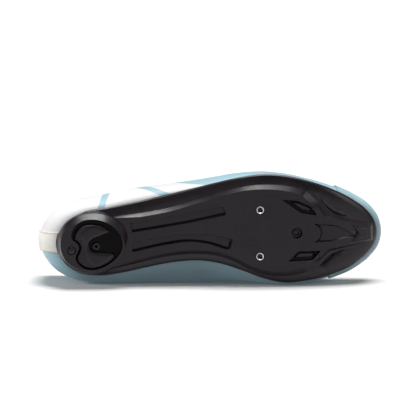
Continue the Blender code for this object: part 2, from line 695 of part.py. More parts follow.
def build_nut(name, centre, face_height, tall, finish):
    """A threaded steel nut: a short sleeve whose open end faces the ground."""
    sides = 20
    turn = np.linspace(0, 2 * math.pi, sides, endpoint=False)
    wall = ((NUT_RADIUS - 0.3, 0.0), (NUT_RADIUS, 0.3), (NUT_RADIUS, tall), (NUT_BORE, tall),
            (NUT_BORE, 0.4), (NUT_BORE + 0.4, 0.0))
    points = [(centre[0] + r * math.cos(a), centre[1] + r * math.sin(a), face_height + z)
              for r, z in wall for a in turn]
    faces = grid_faces(len(wall), sides, True)
    last = (len(wall) - 1) * sides
    faces += [(last + c, last + (c + 1) % sides, (c + 1) % sides, c) for c in range(sides)]
    return add_piece(name, points, faces, finish)


def build_screw(finish):
    """The flat screw that holds the heel tread, with a six-sided socket."""
    centre = drum_point(SCREW_AT)
    floor = TREAD_POCKET_DEPTH - GAP - TREAD_THICKNESS + TREAD_HOLLOW - GAP
    face = floor - SCREW_HEIGHT
    sides = 24
    turn = np.linspace(0, 2 * math.pi, sides, endpoint=False)
    hexagon = SCREW_SOCKET / np.cos((turn + math.pi / 6) % (math.pi / 3) - math.pi / 6)
    rings = ((np.full(sides, SCREW_RADIUS), floor), (np.full(sides, SCREW_RADIUS), face + 0.4),
             (np.full(sides, SCREW_RADIUS - 0.4), face), (hexagon, face), (hexagon, face + 1.0))
    points = [(centre[0] + r * math.cos(a), centre[1] + r * math.sin(a), z)
              for radii, z in rings for r, a in zip(radii, turn)]
    faces = [f[::-1] for f in grid_faces(len(rings), sides, True)]
    faces.append(tuple(range(sides)))
    faces.append(tuple(range((len(rings) - 1) * sides, len(rings) * sides))[::-1])
    return add_piece("heel_screw", points, faces, finish)


def build_peg(finish):
    """The round-headed peg that keeps the heel tread from turning."""
    centre = drum_point(PEG_AT)
    sides = 18
    turn = np.linspace(0, 2 * math.pi, sides, endpoint=False)
    roof = PEG_HEIGHT - GAP
    dome = [(PEG_RADIUS, roof), (PEG_RADIUS, 1.4), (PEG_RADIUS * 0.86, 0.7), (PEG_RADIUS * 0.55, 0.3)]
    points = [(centre[0] + r * math.cos(a), centre[1] + r * math.sin(a), z) for r, z in dome for a in turn]
    points.append((centre[0], centre[1], 0.2))
    faces = [f[::-1] for f in grid_faces(len(dome), sides, True)]
    faces.append(tuple(range(sides)))
    last, tip = (len(dome) - 1) * sides, len(dome) * sides
    faces += [(last + (c + 1) % sides, last + c, tip) for c in range(sides)]
    return add_piece("heel_peg", points, faces, finish)


def upper_levels():
    """Steps from the sole's edge to the rim, closer below the bulge and round it."""
    low = np.linspace(0, WIDEST_AT, UPPER_LEVELS_BELOW + 1)[:-1]
    high = WIDEST_AT + (1 - WIDEST_AT) * np.linspace(0, 1, UPPER_LEVELS_ABOVE + 1)
    return np.concatenate([low, high])


def upper_places():
    """The upper's columns, as places along the sole's edge."""
    return np.linspace(0, ring_values()[1][-1], UPPER_COLUMNS, endpoint=False)


def on_facets(place, t, distance):
    """Points at a distance out from the upper's flat facets, which lie between its columns."""
    place, t = (a.ravel() for a in np.broadcast_arrays(np.asarray(place, float), np.asarray(t, float)))
    levels, places = upper_levels(), upper_places()
    depth = np.broadcast_to(np.asarray(distance, float), place.shape)
    column = place / (places[1] - places[0])
    before = np.floor(column)
    across = (column - before)[:, None]
    below = np.clip(np.searchsorted(levels, t, side="right") - 1, 0, len(levels) - 2)
    rising = ((t - levels[below]) / (levels[below + 1] - levels[below]))[:, None]

    def corner(columns, rows):
        return offset_skin(columns * (places[1] - places[0]), levels[rows], depth)

    lower = corner(before, below) * (1 - across) + corner(before + 1, below) * across
    higher = corner(before, below + 1) * (1 - across) + corner(before + 1, below + 1) * across
    return lower * (1 - rising) + higher * rising


def levels_to(reach, count):
    """The upper's own levels from just clear of the sole up to a reach, the last steps spread."""
    levels = upper_levels()[1:]
    kept = levels[levels < reach - 0.01]
    return np.concatenate([kept, np.linspace(kept[-1], reach, count - len(kept) + 1)[1:]])


def build_upper(finish):
    """The hollow upper, open at the collar, down the throat and underneath."""
    places, levels = upper_places(), upper_levels()
    t, place = np.meshgrid(levels, places, indexing="ij")
    t, place = t.ravel(), place.ravel()
    outer = offset_skin(place, t, np.zeros(len(t)))
    inner = offset_skin(place, t, -wall_at(place, t))
    rows, columns = len(levels), len(places)
    count = rows * columns
    faces = grid_faces(rows, columns, True)
    made = faces + [tuple(i + count for i in f[::-1]) for f in faces]
    for c in range(columns):
        d = (c + 1) % columns
        made.append((d, c, c + count, d + count))
        a, b = (rows - 1) * columns + c, (rows - 1) * columns + d
        made.append((a, b, b + count, a + count))
    return add_piece("upper", np.concatenate([outer, inner]), made, finish)


def build_toe_cap(finish):
    """The thin cap over the toe, standing on the upper."""
    first, last = ring_place(CAP_ROWS[0]), ring_place(CAP_ROWS[1])
    own = upper_places()
    places = np.concatenate([[first], own[(own > first + 2) & (own < last - 2)], [last]])
    share = (places - first) / (last - first) * 2 - 1
    reach = CAP_REACH * (1 - CAP_FALL * np.abs(share) ** 2.4)
    count = int((upper_levels() < CAP_REACH).sum()) + 1
    t = np.stack([levels_to(r, count) for r in reach], axis=1)
    return overlay("toe_cap", np.broadcast_to(places, t.shape), t, CAP_THICKNESS, finish)


def overlay(name, place, t, thickness, finish):
    """A sheet of even thickness standing a gap off the upper's outer surface."""
    near = on_facets(place, t, GAP).reshape(*t.shape, 3)
    far = on_facets(place, t, GAP + thickness).reshape(*t.shape, 3)
    points, faces = sheet_solid(far, near)
    return add_piece(name, points, faces, finish)


def build_heel_strip(finish):
    """The strip up the back of the heel."""
    t = levels_to(STRIP_TOP, int((upper_levels() < STRIP_TOP - 0.01).sum()) + 1)
    spread = np.linalg.norm(skin(np.full(len(t), 1.0), t) - skin(np.full(len(t), -1.0), t), axis=1) / 2
    across = np.array([-0.5, -0.25, 0.0, 0.25, 0.5])
    place = across[None, :] * (STRIP_WIDTH / spread)[:, None]
    return overlay("heel_strip", place, np.repeat(t[:, None], len(across), axis=1), STRIP_THICKNESS, finish)


def build_insole(finish):
    """The footbed that lies on the plate inside the upper."""
    turn = ring_values()[1][-1]
    rim = edge_at(np.linspace(0, turn, 64, endpoint=False), INSOLE_INSET)[0]
    floor = lambda plan: profile(plan[:, 0])[1] + GAP
    points, faces = relief_solid(rim, [], floor, lambda plan: floor(plan) + INSOLE_THICKNESS, INSOLE_GRID)
    return add_piece("insole", points, faces, finish)


def bridge(left, right, count, crown):
    """Points across the throat from one rim to the other, arched up by a crown."""
    share = np.linspace(0, 1, count + 2)[1:-1]
    made = left[:, None] * (1 - share)[None, :, None] + right[:, None] * share[None, :, None]
    made[..., 2] += np.asarray(crown) * (4 * share * (1 - share))[None, :]
    return made


def build_tongue(finish):
    """The tongue: tucked under both sides of the throat, arched between them, with a free top."""
    count = 11
    outer_rows = np.linspace(7.7, 13.2, count)
    inner_rows = np.linspace(24.3, 18.8, count)
    crown = np.linspace(1.6, -1.2, count)
    under = np.array([0.80, 0.86, 0.92, 0.965])
    sheets = []
    slack = np.repeat(np.interp(np.arange(count), [0, 4], [COLLAR_PADDING + 2.2, 0.0]), len(under))
    for extra in (1.3 * GAP, 1.3 * GAP + TONGUE_THICKNESS):
        sides = []
        for rows in (outer_rows, inner_rows):
            place = np.repeat([ring_place(r) for r in rows], len(under))
            t = np.tile(under, count)
            sides.append(on_facets(place, t, -WALL - extra - slack).reshape(count, -1, 3))
        middle = bridge(sides[0][:, -1], sides[1][:, -1], 3, crown[:, None])
        body = np.concatenate([sides[0], middle, sides[1][:, ::-1]], axis=1)
        sheets.append(body)
    rise = np.array([-0.86, 0.0, 0.5])
    for i, body in enumerate(sheets):
        first = body[0]
        centre = first.mean(axis=0)
        above = []
        for share, narrow in ((1.0, 0.5), (0.72, 0.68), (0.36, 0.82)):
            row = centre + (first - centre) * (narrow, narrow, 1.0) + rise * TONGUE_RISE * share
            above.append(row)
        sheets[i] = np.concatenate([np.array(above), body])
    points, faces = sheet_solid(sheets[1], sheets[0])
    return add_piece("tongue", points, faces, finish)


def build_strap(name, outer_rim, outer_end, inner_rim, inner_end, width, outer_level, inner_level, finish):
    """A strap laid over the throat, close on the upper at both ends."""
    across = np.linspace(-0.5, 0.5, 4)
    sheets = []
    for lift in (2 * GAP, 2 * GAP + STRAP_THICKNESS):
        sides = []
        for rim, end, level, way in ((outer_rim, outer_end, outer_level, 1), (inner_rim, inner_end, inner_level, -1)):
            t = np.linspace(level, STRAP_LEAVES, 7)
            middle = ring_place(np.linspace(end, rim, 7))
            spread = np.linalg.norm(skin(middle + 1, t) - skin(middle - 1, t), axis=1) / 2
            place = middle[None, :] + way * across[:, None] * (width / spread)[None, :]
            levels = np.broadcast_to(t, place.shape)
            sides.append(on_facets(place, levels, lift).reshape(*place.shape, 3))
        middle = bridge(sides[0][:, -1], sides[1][:, -1], 3, STRAP_CROWN)
        sheets.append(np.concatenate([sides[0], middle, sides[1][:, ::-1]], axis=1))
    points, faces = sheet_solid(sheets[0], sheets[1])
    return add_piece(name, points, faces, finish)


def lying_turn(pieces):
    """The turn and shift that lay the shoe on its inner side, held up by three points.

    Of the flats that bridge the shoe's convex outline, it takes the one that faces most
    nearly to the inner side and has the middle of the shoe's weight above it.
    """
    lying = Matrix(((1, 0, 0), (0, 0, 1), (0, -1, 0))).to_4x4()
    worked = bmesh.new()
    centre, volume = Vector(), 0.0
    for piece in pieces:
        worked.from_mesh(piece.data)
        measured = bmesh.new()
        measured.from_mesh(piece.data)
        share = measured.calc_volume()
        middle = Vector()
        for face in measured.faces:
            a, b, c = (v.co for v in face.verts)
            middle += (a + b + c) / 4 * (a.dot(b.cross(c)) / 6)
        centre += middle
        volume += share
        measured.free()
    centre = lying @ (centre / volume)
    worked.transform(lying)
    hull = bmesh.ops.convex_hull(worked, input=worked.verts)["geom"]
    best, found = -2.0, None
    for face in hull:
        if not isinstance(face, bmesh.types.BMFace):
            continue
        corners = [v.co.copy() for v in face.verts]
        normal = (corners[1] - corners[0]).cross(corners[2] - corners[0]).normalized()
        if normal.dot(corners[0] - centre) < 0:
            normal.negate()
            corners.reverse()
        above = centre - normal * (centre - corners[0]).dot(normal)
        sides = [(b - a).cross(above - a).dot(normal) for a, b in zip(corners, corners[1:] + corners[:1])]
        if min(sides) > 0 and -normal.z > best:
            best, found = -normal.z, normal.copy()
    worked.free()
    settle = found.rotation_difference(Vector((0, 0, -1))).to_matrix().to_4x4()
    turned = settle @ lying
    low = min((turned @ v.co).z for piece in pieces for v in piece.data.vertices)
    spans = [(turned @ v.co) for piece in pieces for v in piece.data.vertices]
    middle_x = (min(p.x for p in spans) + max(p.x for p in spans)) / 2
    middle_y = (min(p.y for p in spans) + max(p.y for p in spans)) / 2
    return Matrix.Translation((-middle_x, -middle_y, -low)) @ turned


def main():
    """Builds every piece, then lays the shoe down."""
    for old in list(bpy.data.objects):
        bpy.data.objects.remove(old)
    nylon = material("glass filled nylon", (0.021, 0.019, 0.022), 0.42)
    rubber = material("black rubber", (0.024, 0.022, 0.025), 0.62)
    steel = material("plated steel", (0.62, 0.64, 0.66), 0.28, 1.0)
    blackened = material("blackened steel", (0.05, 0.05, 0.055), 0.4, 1.0)
    microfibre = material("microfibre", (0.30, 0.48, 0.55), 0.5)
    guard = material("polyurethane guard", (0.31, 0.50, 0.57), 0.4)
    webbing = material("heel webbing", (0.80, 0.80, 0.76), 0.7)
    foam = material("foam and mesh", (0.78, 0.79, 0.79), 0.8)
    footbed = material("footbed foam", (0.045, 0.047, 0.05), 0.9)
    band = material("strap", (0.80, 0.81, 0.82), 0.55)

    outer_nut, inner_nut, front_nut = nut_places()
    pieces = [
        build_outsole(nylon),
        build_heel_tread(rubber),
        build_toe_tread(rubber),
        build_screw(blackened),
        build_peg(rubber),
        build_nut("cleat_nut_outer", outer_nut, NUT_POCKET_DEPTH - GAP - NUT_HEIGHT, NUT_HEIGHT, steel),
        build_nut("cleat_nut_inner", inner_nut, NUT_POCKET_DEPTH - GAP - NUT_HEIGHT, NUT_HEIGHT, steel),
        build_nut("cleat_nut_front", front_nut, NUT_POCKET_DEPTH - GAP - FRONT_NUT_HEIGHT, FRONT_NUT_HEIGHT,
                  blackened),
        build_upper(microfibre),
        build_toe_cap(guard),
        build_heel_strip(webbing),
        build_insole(footbed),
        build_tongue(foam),
    ]
    pieces += [build_strap(*row, band) for row in STRAPS]
    shoe = bpy.data.objects.new("shoe", None)
    bpy.context.scene.collection.objects.link(shoe)
    shoe.matrix_world = lying_turn(pieces)
    for piece in pieces:
        piece.parent = shoe


main()
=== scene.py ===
"""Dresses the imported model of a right-foot road cycling shoe that lies on its inner side."""

import logging
import math
from collections.abc import Callable, Sequence
from dataclasses import dataclass, field
from enum import Enum

import bpy
import numpy as np
from mathutils import Matrix, Vector
from mathutils.geometry import delaunay_2d_cdt


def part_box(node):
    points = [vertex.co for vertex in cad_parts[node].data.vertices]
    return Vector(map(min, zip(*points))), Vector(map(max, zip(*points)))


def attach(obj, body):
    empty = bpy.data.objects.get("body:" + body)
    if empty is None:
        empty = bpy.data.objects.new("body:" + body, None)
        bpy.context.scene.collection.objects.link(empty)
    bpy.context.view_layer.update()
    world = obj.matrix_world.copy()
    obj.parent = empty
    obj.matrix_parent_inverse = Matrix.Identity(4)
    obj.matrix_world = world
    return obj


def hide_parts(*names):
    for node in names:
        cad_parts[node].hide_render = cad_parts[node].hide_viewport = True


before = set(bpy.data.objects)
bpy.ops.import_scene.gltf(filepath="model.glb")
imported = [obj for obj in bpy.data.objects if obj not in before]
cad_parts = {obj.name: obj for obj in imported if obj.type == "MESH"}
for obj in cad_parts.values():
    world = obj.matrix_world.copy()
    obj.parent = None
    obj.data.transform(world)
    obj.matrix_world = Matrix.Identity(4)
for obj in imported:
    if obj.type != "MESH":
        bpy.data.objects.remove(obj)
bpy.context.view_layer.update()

MM = 0.001
log = logging.getLogger("shoe")


class Side(Enum):
    """The two sides of the foot; the value is the sign of the shoe's own y there."""

    OUTER = -1
    INNER = 1


# Curves and outlines, all in millimetres


def hermite(knots: np.ndarray, values: np.ndarray, at: np.ndarray) -> np.ndarray:
    """Smooth curve through values at rising knots.

    Args:
        knots: rising positions of the values.
        values: one value or row for each knot.
        at: positions to read the curve at.

    Returns:
        One value or row for each position.
    """
    knots, values, at = (np.asarray(a, float) for a in (knots, values, at))
    flat = values.reshape(len(knots), -1)
    step = np.diff(knots)[:, None]
    slope = np.diff(flat, axis=0) / step
    tangent = np.empty_like(flat)
    tangent[1:-1] = (slope[:-1] * step[1:] + slope[1:] * step[:-1]) / (step[:-1] + step[1:])
    tangent[0], tangent[-1] = slope[0], slope[-1]
    i = np.clip(np.searchsorted(knots, at, side="right") - 1, 0, len(knots) - 2)
    width = step[i]
    u = ((at - knots[i])[:, None]) / width
    made = (
        (2 * u**3 - 3 * u**2 + 1) * flat[i]
        + (u**3 - 2 * u**2 + u) * width * tangent[i]
        + (3 * u**2 - 2 * u**3) * flat[i + 1]
        + (u**3 - u**2) * width * tangent[i + 1]
    )
    return made.reshape((len(at),) + values.shape[1:])


def smooth(share: np.ndarray) -> np.ndarray:
    """Eases shares from 0 to 1 at both of their ends."""
    share = np.clip(share, 0, 1)
    return share * share * (3 - 2 * share)


def run_through(points: np.ndarray, spacing: float) -> np.ndarray:
    """An open smooth run through points, both ends kept, with sides about a spacing long."""
    at = np.concatenate([[0.0], np.cumsum(np.linalg.norm(np.diff(points, axis=0), axis=1))])
    return hermite(at, points, np.linspace(0, at[-1], max(2, int(round(at[-1] / spacing)) + 1)))


def loop_through(points: np.ndarray, spacing: float) -> np.ndarray:
    """A closed smooth loop through points, with sides about a spacing long.

    Args:
        points: the loop's points.
        spacing: about how long its sides are made.

    Returns:
        The points of the loop.
    """
    n = len(points)
    chord = np.linalg.norm(np.roll(points, -1, axis=0) - points, axis=1)
    at = np.concatenate([[0.0], np.cumsum(chord)])
    wrapped = np.concatenate([points[-3:], points, points[:4]])
    knots = np.concatenate([at[n - 3 : n] - at[-1], at, at[1:4] + at[-1]])
    return hermite(knots, wrapped, np.linspace(0, at[-1], max(8, int(at[-1] / spacing)), endpoint=False))


def cornered(points: np.ndarray, spacing: float, radius: float, sharp: float = 50.0) -> np.ndarray:
    """A closed loop that is smooth between its real corners, which get a small radius.

    Args:
        points: the loop's points.
        spacing: about how long its sides are made.
        radius: how far each corner is cut back.
        sharp: turn in degrees from which a point counts as a corner.

    Returns:
        The points of the loop.
    """
    n = len(points)
    ahead = np.roll(points, -1, axis=0) - points
    heading = np.arctan2(ahead[:, 1], ahead[:, 0])
    turn = np.degrees(np.abs(np.angle(np.exp(1j * (heading - np.roll(heading, 1))))))
    corners = [i for i in range(n) if turn[i] > sharp]
    if not corners:
        return loop_through(points, spacing)
    made = []
    for a, b in zip(corners, corners[1:] + [corners[0] + n]):
        run = run_through(points[np.arange(a, b + 1) % n], spacing)
        before = points[(a - 1) % n] - run[0]
        after = run[1] - run[0]
        cut = min(radius, 0.4 * np.linalg.norm(after), 0.4 * np.linalg.norm(before))
        start = run[0] + before / np.linalg.norm(before) * cut
        end = run[0] + after / np.linalg.norm(after) * cut
        middle = 0.25 * start + 0.5 * run[0] + 0.25 * end
        made += [start[None], middle[None], end[None], run[1:-1]]
    return np.concatenate(made)


def signed_area(loop: np.ndarray) -> float:
    """Area of a closed loop, above zero where it runs anticlockwise."""
    x, y = loop[:, 0], loop[:, 1]
    return float(0.5 * np.sum(x * np.roll(y, -1) - np.roll(x, -1) * y))


def inset(loop: np.ndarray, distance: float | np.ndarray) -> np.ndarray:
    """A closed loop moved inwards, or outwards below zero, with mitred corners.

    Args:
        loop: the loop's points.
        distance: how far, as one number or one for each point.

    Returns:
        The moved points, as many as before.
    """
    ahead = np.roll(loop, -1, axis=0) - loop
    ahead /= np.linalg.norm(ahead, axis=1)[:, None]
    behind = np.roll(ahead, 1, axis=0)
    both = np.stack([-ahead[:, 1] - behind[:, 1], ahead[:, 0] + behind[:, 0]], axis=1)
    scale = 2 / np.maximum((both**2).sum(axis=1), 0.7)
    turned = 1 if signed_area(loop) > 0 else -1
    return loop + turned * both * scale[:, None] * np.reshape(distance, (-1, 1))


def skewed(loop: np.ndarray, near: float, far: float, towards: Sequence[float]) -> np.ndarray:
    """A closed loop of few corners moved inwards, further on the side that faces a direction.

    Args:
        loop: the loop's corners.
        near: how far the sides that face away move.
        far: how far the sides that face the direction move.
        towards: the direction in plan.

    Returns:
        The moved corners, as many as before.
    """
    ahead = np.roll(loop, -1, axis=0) - loop
    ahead /= np.linalg.norm(ahead, axis=1)[:, None]
    turned = 1 if signed_area(loop) > 0 else -1
    inward = turned * np.stack([-ahead[:, 1], ahead[:, 0]], axis=1)
    moved = near + (far - near) * smooth(0.3 - inward @ np.asarray(towards, float))
    made = []
    for corner, n1, n2, d1, d2 in zip(loop, np.roll(inward, 1, axis=0), inward, np.roll(moved, 1), moved):
        square = n1[0] * n2[1] - n1[1] * n2[0]
        if abs(square) < 0.45:
            both = (n1 + n2) / np.linalg.norm(n1 + n2)
            made.append(corner + both * (d1 + d2) / 2)
        else:
            made.append(corner + np.linalg.solve(np.array([n1, n2]), np.array([d1, d2])))
    return np.array(made)


def filled(loop: np.ndarray, spacing: float) -> np.ndarray:
    """A closed loop with no side much longer than a spacing.

    Args:
        loop: the loop's points.
        spacing: about how long its sides may be.

    Returns:
        The points of the loop.
    """
    made = []
    for a, b in zip(loop, np.roll(loop, -1, axis=0)):
        made.append(np.linspace(a, b, max(1, int(round(np.linalg.norm(b - a) / spacing))), endpoint=False))
    return np.concatenate(made)


def inside(points: np.ndarray, loop: np.ndarray) -> np.ndarray:
    """Which points lie inside a closed loop.

    Args:
        points: places in plan.
        loop: the closed loop.

    Returns:
        True or false for each point.
    """
    found = np.zeros(len(points), bool)
    for a, b in zip(loop, np.roll(loop, -1, axis=0)):
        crosses = (a[1] > points[:, 1]) != (b[1] > points[:, 1])
        if crosses.any():
            x = a[0] + (points[:, 1] - a[1]) * (b[0] - a[0]) / (b[1] - a[1])
            found ^= crosses & (points[:, 0] < x)
    return found


def distance_to(points: np.ndarray, loop: np.ndarray) -> np.ndarray:
    """Distance of each point from a closed loop.

    Args:
        points: places in plan.
        loop: the closed loop.

    Returns:
        One distance for each point.
    """
    best = np.full(len(points), np.inf)
    for a, b in zip(loop, np.roll(loop, -1, axis=0)):
        side = b - a
        share = np.clip(((points - a) @ side) / max(side @ side, 1e-12), 0, 1)
        best = np.minimum(best, ((points - a - share[:, None] * side) ** 2).sum(axis=1))
    return np.sqrt(best)


def depth_in(points: np.ndarray, loop: np.ndarray) -> np.ndarray:
    """How far each point lies inside a closed loop, below zero outside it."""
    return distance_to(points, loop) * np.where(inside(points, loop), 1, -1)


def circle(centre: Sequence[float], radius: float, count: int) -> np.ndarray:
    """Points round a circle."""
    turn = np.linspace(0, 2 * math.pi, count, endpoint=False)
    return np.stack([centre[0] + radius * np.cos(turn), centre[1] + radius * np.sin(turn)], axis=1)


def triangles_between(loops: Sequence[np.ndarray], free: np.ndarray, rim: np.ndarray) -> tuple[np.ndarray, np.ndarray]:
    """A triangulation inside a rim that keeps every loop's sides, wherever they cross.

    Args:
        loops: closed loops, the rim among them.
        free: further points.
        rim: the outline that holds the triangles.

    Returns:
        The points in plan and the triangles, which run anticlockwise.
    """
    plan = np.concatenate([*loops, free])
    sides, start = [], 0
    for loop in loops:
        n = len(loop)
        sides += [(start + i, start + (i + 1) % n) for i in range(n)]
        start += n
    found = delaunay_2d_cdt([Vector(p) for p in plan], sides, [], 0, 1e-5)
    plan = np.array([tuple(p) for p in found[0]])
    faces = np.array(found[2])
    corners = plan[faces]
    a, b = corners[:, 1] - corners[:, 0], corners[:, 2] - corners[:, 0]
    turned = a[:, 0] * b[:, 1] - a[:, 1] * b[:, 0]
    faces[turned < 0] = faces[turned < 0][:, ::-1]
    return plan, faces[inside(corners.mean(axis=1), rim) & (np.abs(turned) > 1e-5)]


def outline_of(faces: np.ndarray) -> list[int]:
    """The points round the outside of a triangulation, in order.

    Args:
        faces: the triangles.

    Returns:
        The points' numbers, once round.
    """
    sides = {(a, b) for f in faces.tolist() for a, b in zip(f, f[1:] + f[:1])}
    after = {a: b for a, b in sides if (b, a) not in sides}
    around = [min(after)]
    while len(around) < len(after) and after[around[-1]] != around[0]:
        around.append(after[around[-1]])
    return around


def grid_in(loop: np.ndarray, spacing: float, clear_of: Sequence[np.ndarray]) -> np.ndarray:
    """Points of a staggered grid inside a loop, clear of every given loop.

    Args:
        loop: the loop that holds the grid.
        spacing: how far apart the points are.
        clear_of: loops that the points keep away from.

    Returns:
        The points.
    """
    low, high = loop.min(axis=0), loop.max(axis=0)
    rows = np.arange(low[1] + spacing / 2, high[1], spacing * 0.87)
    grid = np.array([
        (x, y) for r, y in enumerate(rows)
        for x in np.arange(low[0] + spacing * (0.5 if r % 2 else 1.0), high[0], spacing)
    ])
    grid = grid[inside(grid, loop)]
    for other in clear_of:
        grid = grid[distance_to(grid, other) > spacing * 0.45]
    return grid


# The shoe's own frame and form


@dataclass(frozen=True)
class Seat:
    """Where the shoe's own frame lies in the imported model, found from its three cleat nuts."""

    nut_x: float = 163.41
    nut_spread: float = 37.6
    nut_reach: float = 30.0
    front_rise: float = 0.6
    nut_height: float = 1.9

    def matrix(self) -> Matrix:
        """The turn and shift from own millimetres to metres in the model.

        Returns:
            The matrix.
        """
        outer, inner, front = (self._middle(f"cleat_nut_{n}") for n in ("outer", "inner", "front"))
        own = self._axes(np.array([0.0, 1.0, 0.0]), np.array([self.nut_reach, 0.0, self.front_rise]))
        seen = self._axes(inner - outer, front - (inner + outer) / 2)
        turn = seen.T @ own
        mid = np.array([self.nut_x, 0.0, self.nut_height])
        shift = (inner + outer) / 2 - turn @ mid * MM
        return Matrix([[*(turn[i] * MM), shift[i]] for i in range(3)] + [[0, 0, 0, 1]])

    @staticmethod
    def _middle(node: str) -> np.ndarray:
        """The middle of a node's box, in metres."""
        return np.mean(np.array(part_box(node)), axis=0)

    @staticmethod
    def _axes(across: np.ndarray, ahead: np.ndarray) -> np.ndarray:
        """Three square unit directions from one across and one roughly ahead.

        Args:
            across: the first direction.
            ahead: about the second direction.

        Returns:
            The directions, one in each row.
        """
        first = across / np.linalg.norm(across)
        second = ahead - first * (ahead @ first)
        second /= np.linalg.norm(second)
        return np.array([first, second, np.cross(first, second)])


@dataclass(frozen=True)
class Last:
    """The form that the whole shoe is made over, with its sizes in millimetres."""

    length: float = 262.0
    width: float = 89.0
    instep: float = 86.0
    heel: float = 16.0
    wall: float = 2.0
    padding: float = 2.6
    inset: float = 0.6
    gap: float = 0.3
    widest: float = 0.3

    PROFILE = (
        # along, plateau, top
        (0.0, 56.0, 100.0), (20.0, 56.0, 100.0), (30.5, 57.0, 99.0), (40.0, 50.0, 90.0),
        (49.5, 30.0, 70.0), (57.0, 7.0, 53.0), (61.0, 0.0, 48.0), (76.5, 0.0, 48.0),
        (82.0, 8.0, 55.0), (90.0, 38.0, 86.0), (95.5, 72.0, 120.0), (100.0, 106.0, 152.0),
    )
    RING = (
        # edge x, edge y, bulge out, bulge up, top x, top y, top z, lay out, lay down
        (0.0, 9.0, 13.9, 28.0, -2.3, 9.1, 95.0, 1.0, 23.0),
        (2.6, -9.4, 12.4, 28.0, -1.2, -3.0, 93.5, 1.0, 22.0),
        (8.2, -18.7, 10.6, 28.0, 3.6, -13.8, 88.0, 1.0, 20.0),
        (15.8, -22.9, 10.6, 27.0, 11.8, -19.8, 79.0, 1.0, 18.0),
        (27.2, -29.7, 10.4, 25.0, 20.8, -21.0, 75.0, 1.5, 17.0),
        (34.7, -34.7, 8.4, 23.5, 27.5, -18.2, 79.0, 3.0, 16.0),
        (42.0, -39.9, 6.0, 22.0, 32.8, -13.6, 87.5, 9.0, 13.0),
        (49.3, -45.4, 4.2, 21.0, 37.0, -8.6, 96.5, 18.0, 6.0),
        (56.6, -50.4, 3.0, 20.0, 43.0, -7.4, 93.0, 20.0, 4.5),
        (63.9, -53.2, 1.8, 18.5, 49.5, -7.4, 85.5, 20.0, 4.5),
        (71.0, -51.5, 1.6, 17.5, 55.2, -7.8, 79.5, 21.0, 4.5),
        (78.5, -46.0, 2.2, 16.5, 59.2, -7.6, 75.3, 24.0, 6.0),
        (86.0, -37.8, 3.4, 15.0, 61.5, -6.0, 72.7, 30.0, 9.0),
        (92.0, -28.6, 4.6, 14.0, 62.6, -4.2, 71.4, 38.0, 12.0),
        (96.3, -19.4, 5.4, 13.3, 63.2, -2.4, 70.7, 45.0, 14.5),
        (99.1, -8.8, 5.7, 13.0, 63.4, -0.9, 70.4, 49.0, 15.5),
        (100.0, 2.2, 5.6, 12.8, 63.5, 0.7, 70.3, 50.0, 16.0),
        (99.2, 12.0, 5.6, 13.0, 63.4, 2.3, 70.4, 49.0, 15.5),
        (96.6, 21.3, 5.4, 13.3, 63.2, 3.8, 70.7, 45.0, 14.5),
        (91.8, 30.9, 5.0, 14.0, 62.6, 5.7, 71.4, 38.0, 12.0),
        (84.5, 39.0, 4.2, 11.0, 61.5, 7.9, 72.8, 30.0, 9.0),
        (77.0, 43.8, 3.6, 8.0, 59.2, 9.8, 75.5, 24.0, 6.0),
        (70.5, 45.4, 3.6, 6.5, 55.2, 11.0, 80.0, 21.0, 4.5),
        (64.0, 41.4, 6.4, 9.0, 50.0, 11.9, 86.0, 20.0, 4.5),
        (57.8, 34.6, 12.0, 14.0, 43.5, 14.0, 94.0, 20.0, 4.5),
        (51.5, 28.5, 18.6, 19.0, 37.2, 18.2, 99.0, 17.0, 6.5),
        (45.0, 25.3, 22.6, 20.5, 33.2, 29.0, 92.5, 8.0, 14.0),
        (37.0, 26.3, 22.2, 20.5, 28.0, 39.5, 84.0, 3.0, 17.0),
        (28.5, 30.8, 17.5, 20.5, 20.8, 43.6, 79.0, 1.5, 18.0),
        (20.0, 36.0, 12.6, 20.5, 12.6, 41.6, 82.0, 1.0, 19.0),
        (12.8, 38.4, 9.8, 22.0, 5.8, 35.0, 87.5, 1.0, 20.0),
        (6.5, 35.3, 9.8, 25.0, 1.6, 27.6, 91.5, 1.0, 21.0),
        (1.8, 24.5, 11.8, 27.0, -1.4, 19.6, 94.0, 1.0, 22.0),
    )

    def share(self, pairs: Sequence) -> np.ndarray:
        """Pairs in percent of the sole's length and the ball width, in millimetres."""
        return np.array(pairs, float) * (self.length / 100, self.width / 100)

    def profile(self, x: np.ndarray) -> tuple[np.ndarray, np.ndarray]:
        """Heights of the plateau's underside and of the plate's top along the sole.

        Args:
            x: places along the sole.

        Returns:
            Both heights for each place.
        """
        rows = np.array(self.PROFILE)
        heights = hermite(rows[:, 0] * self.length / 100, rows[:, 1:] * self.heel / 100, x)
        flat = (x > rows[6, 0] * self.length / 100) & (x < rows[7, 0] * self.length / 100)
        heights[flat] = rows[6, 1:] * self.heel / 100
        return heights[:, 0], heights[:, 1]

    def knots(self) -> tuple[np.ndarray, np.ndarray]:
        """The ring table in millimetres, and each row's place along the sole's edge.

        Returns:
            The rows and their places.
        """
        length, width, height = self.length / 100, self.width / 100, self.instep / 100
        rows = np.array(self.RING) * (length, width, width, height, length, width, height, width, height)
        chord = np.linalg.norm(np.diff(rows[:, :2], axis=0, append=rows[:1, :2]), axis=1)
        return rows, np.concatenate([[0.0], np.cumsum(chord)])

    def round_length(self) -> float:
        """Length of the way round the sole's edge."""
        return float(self.knots()[1][-1])

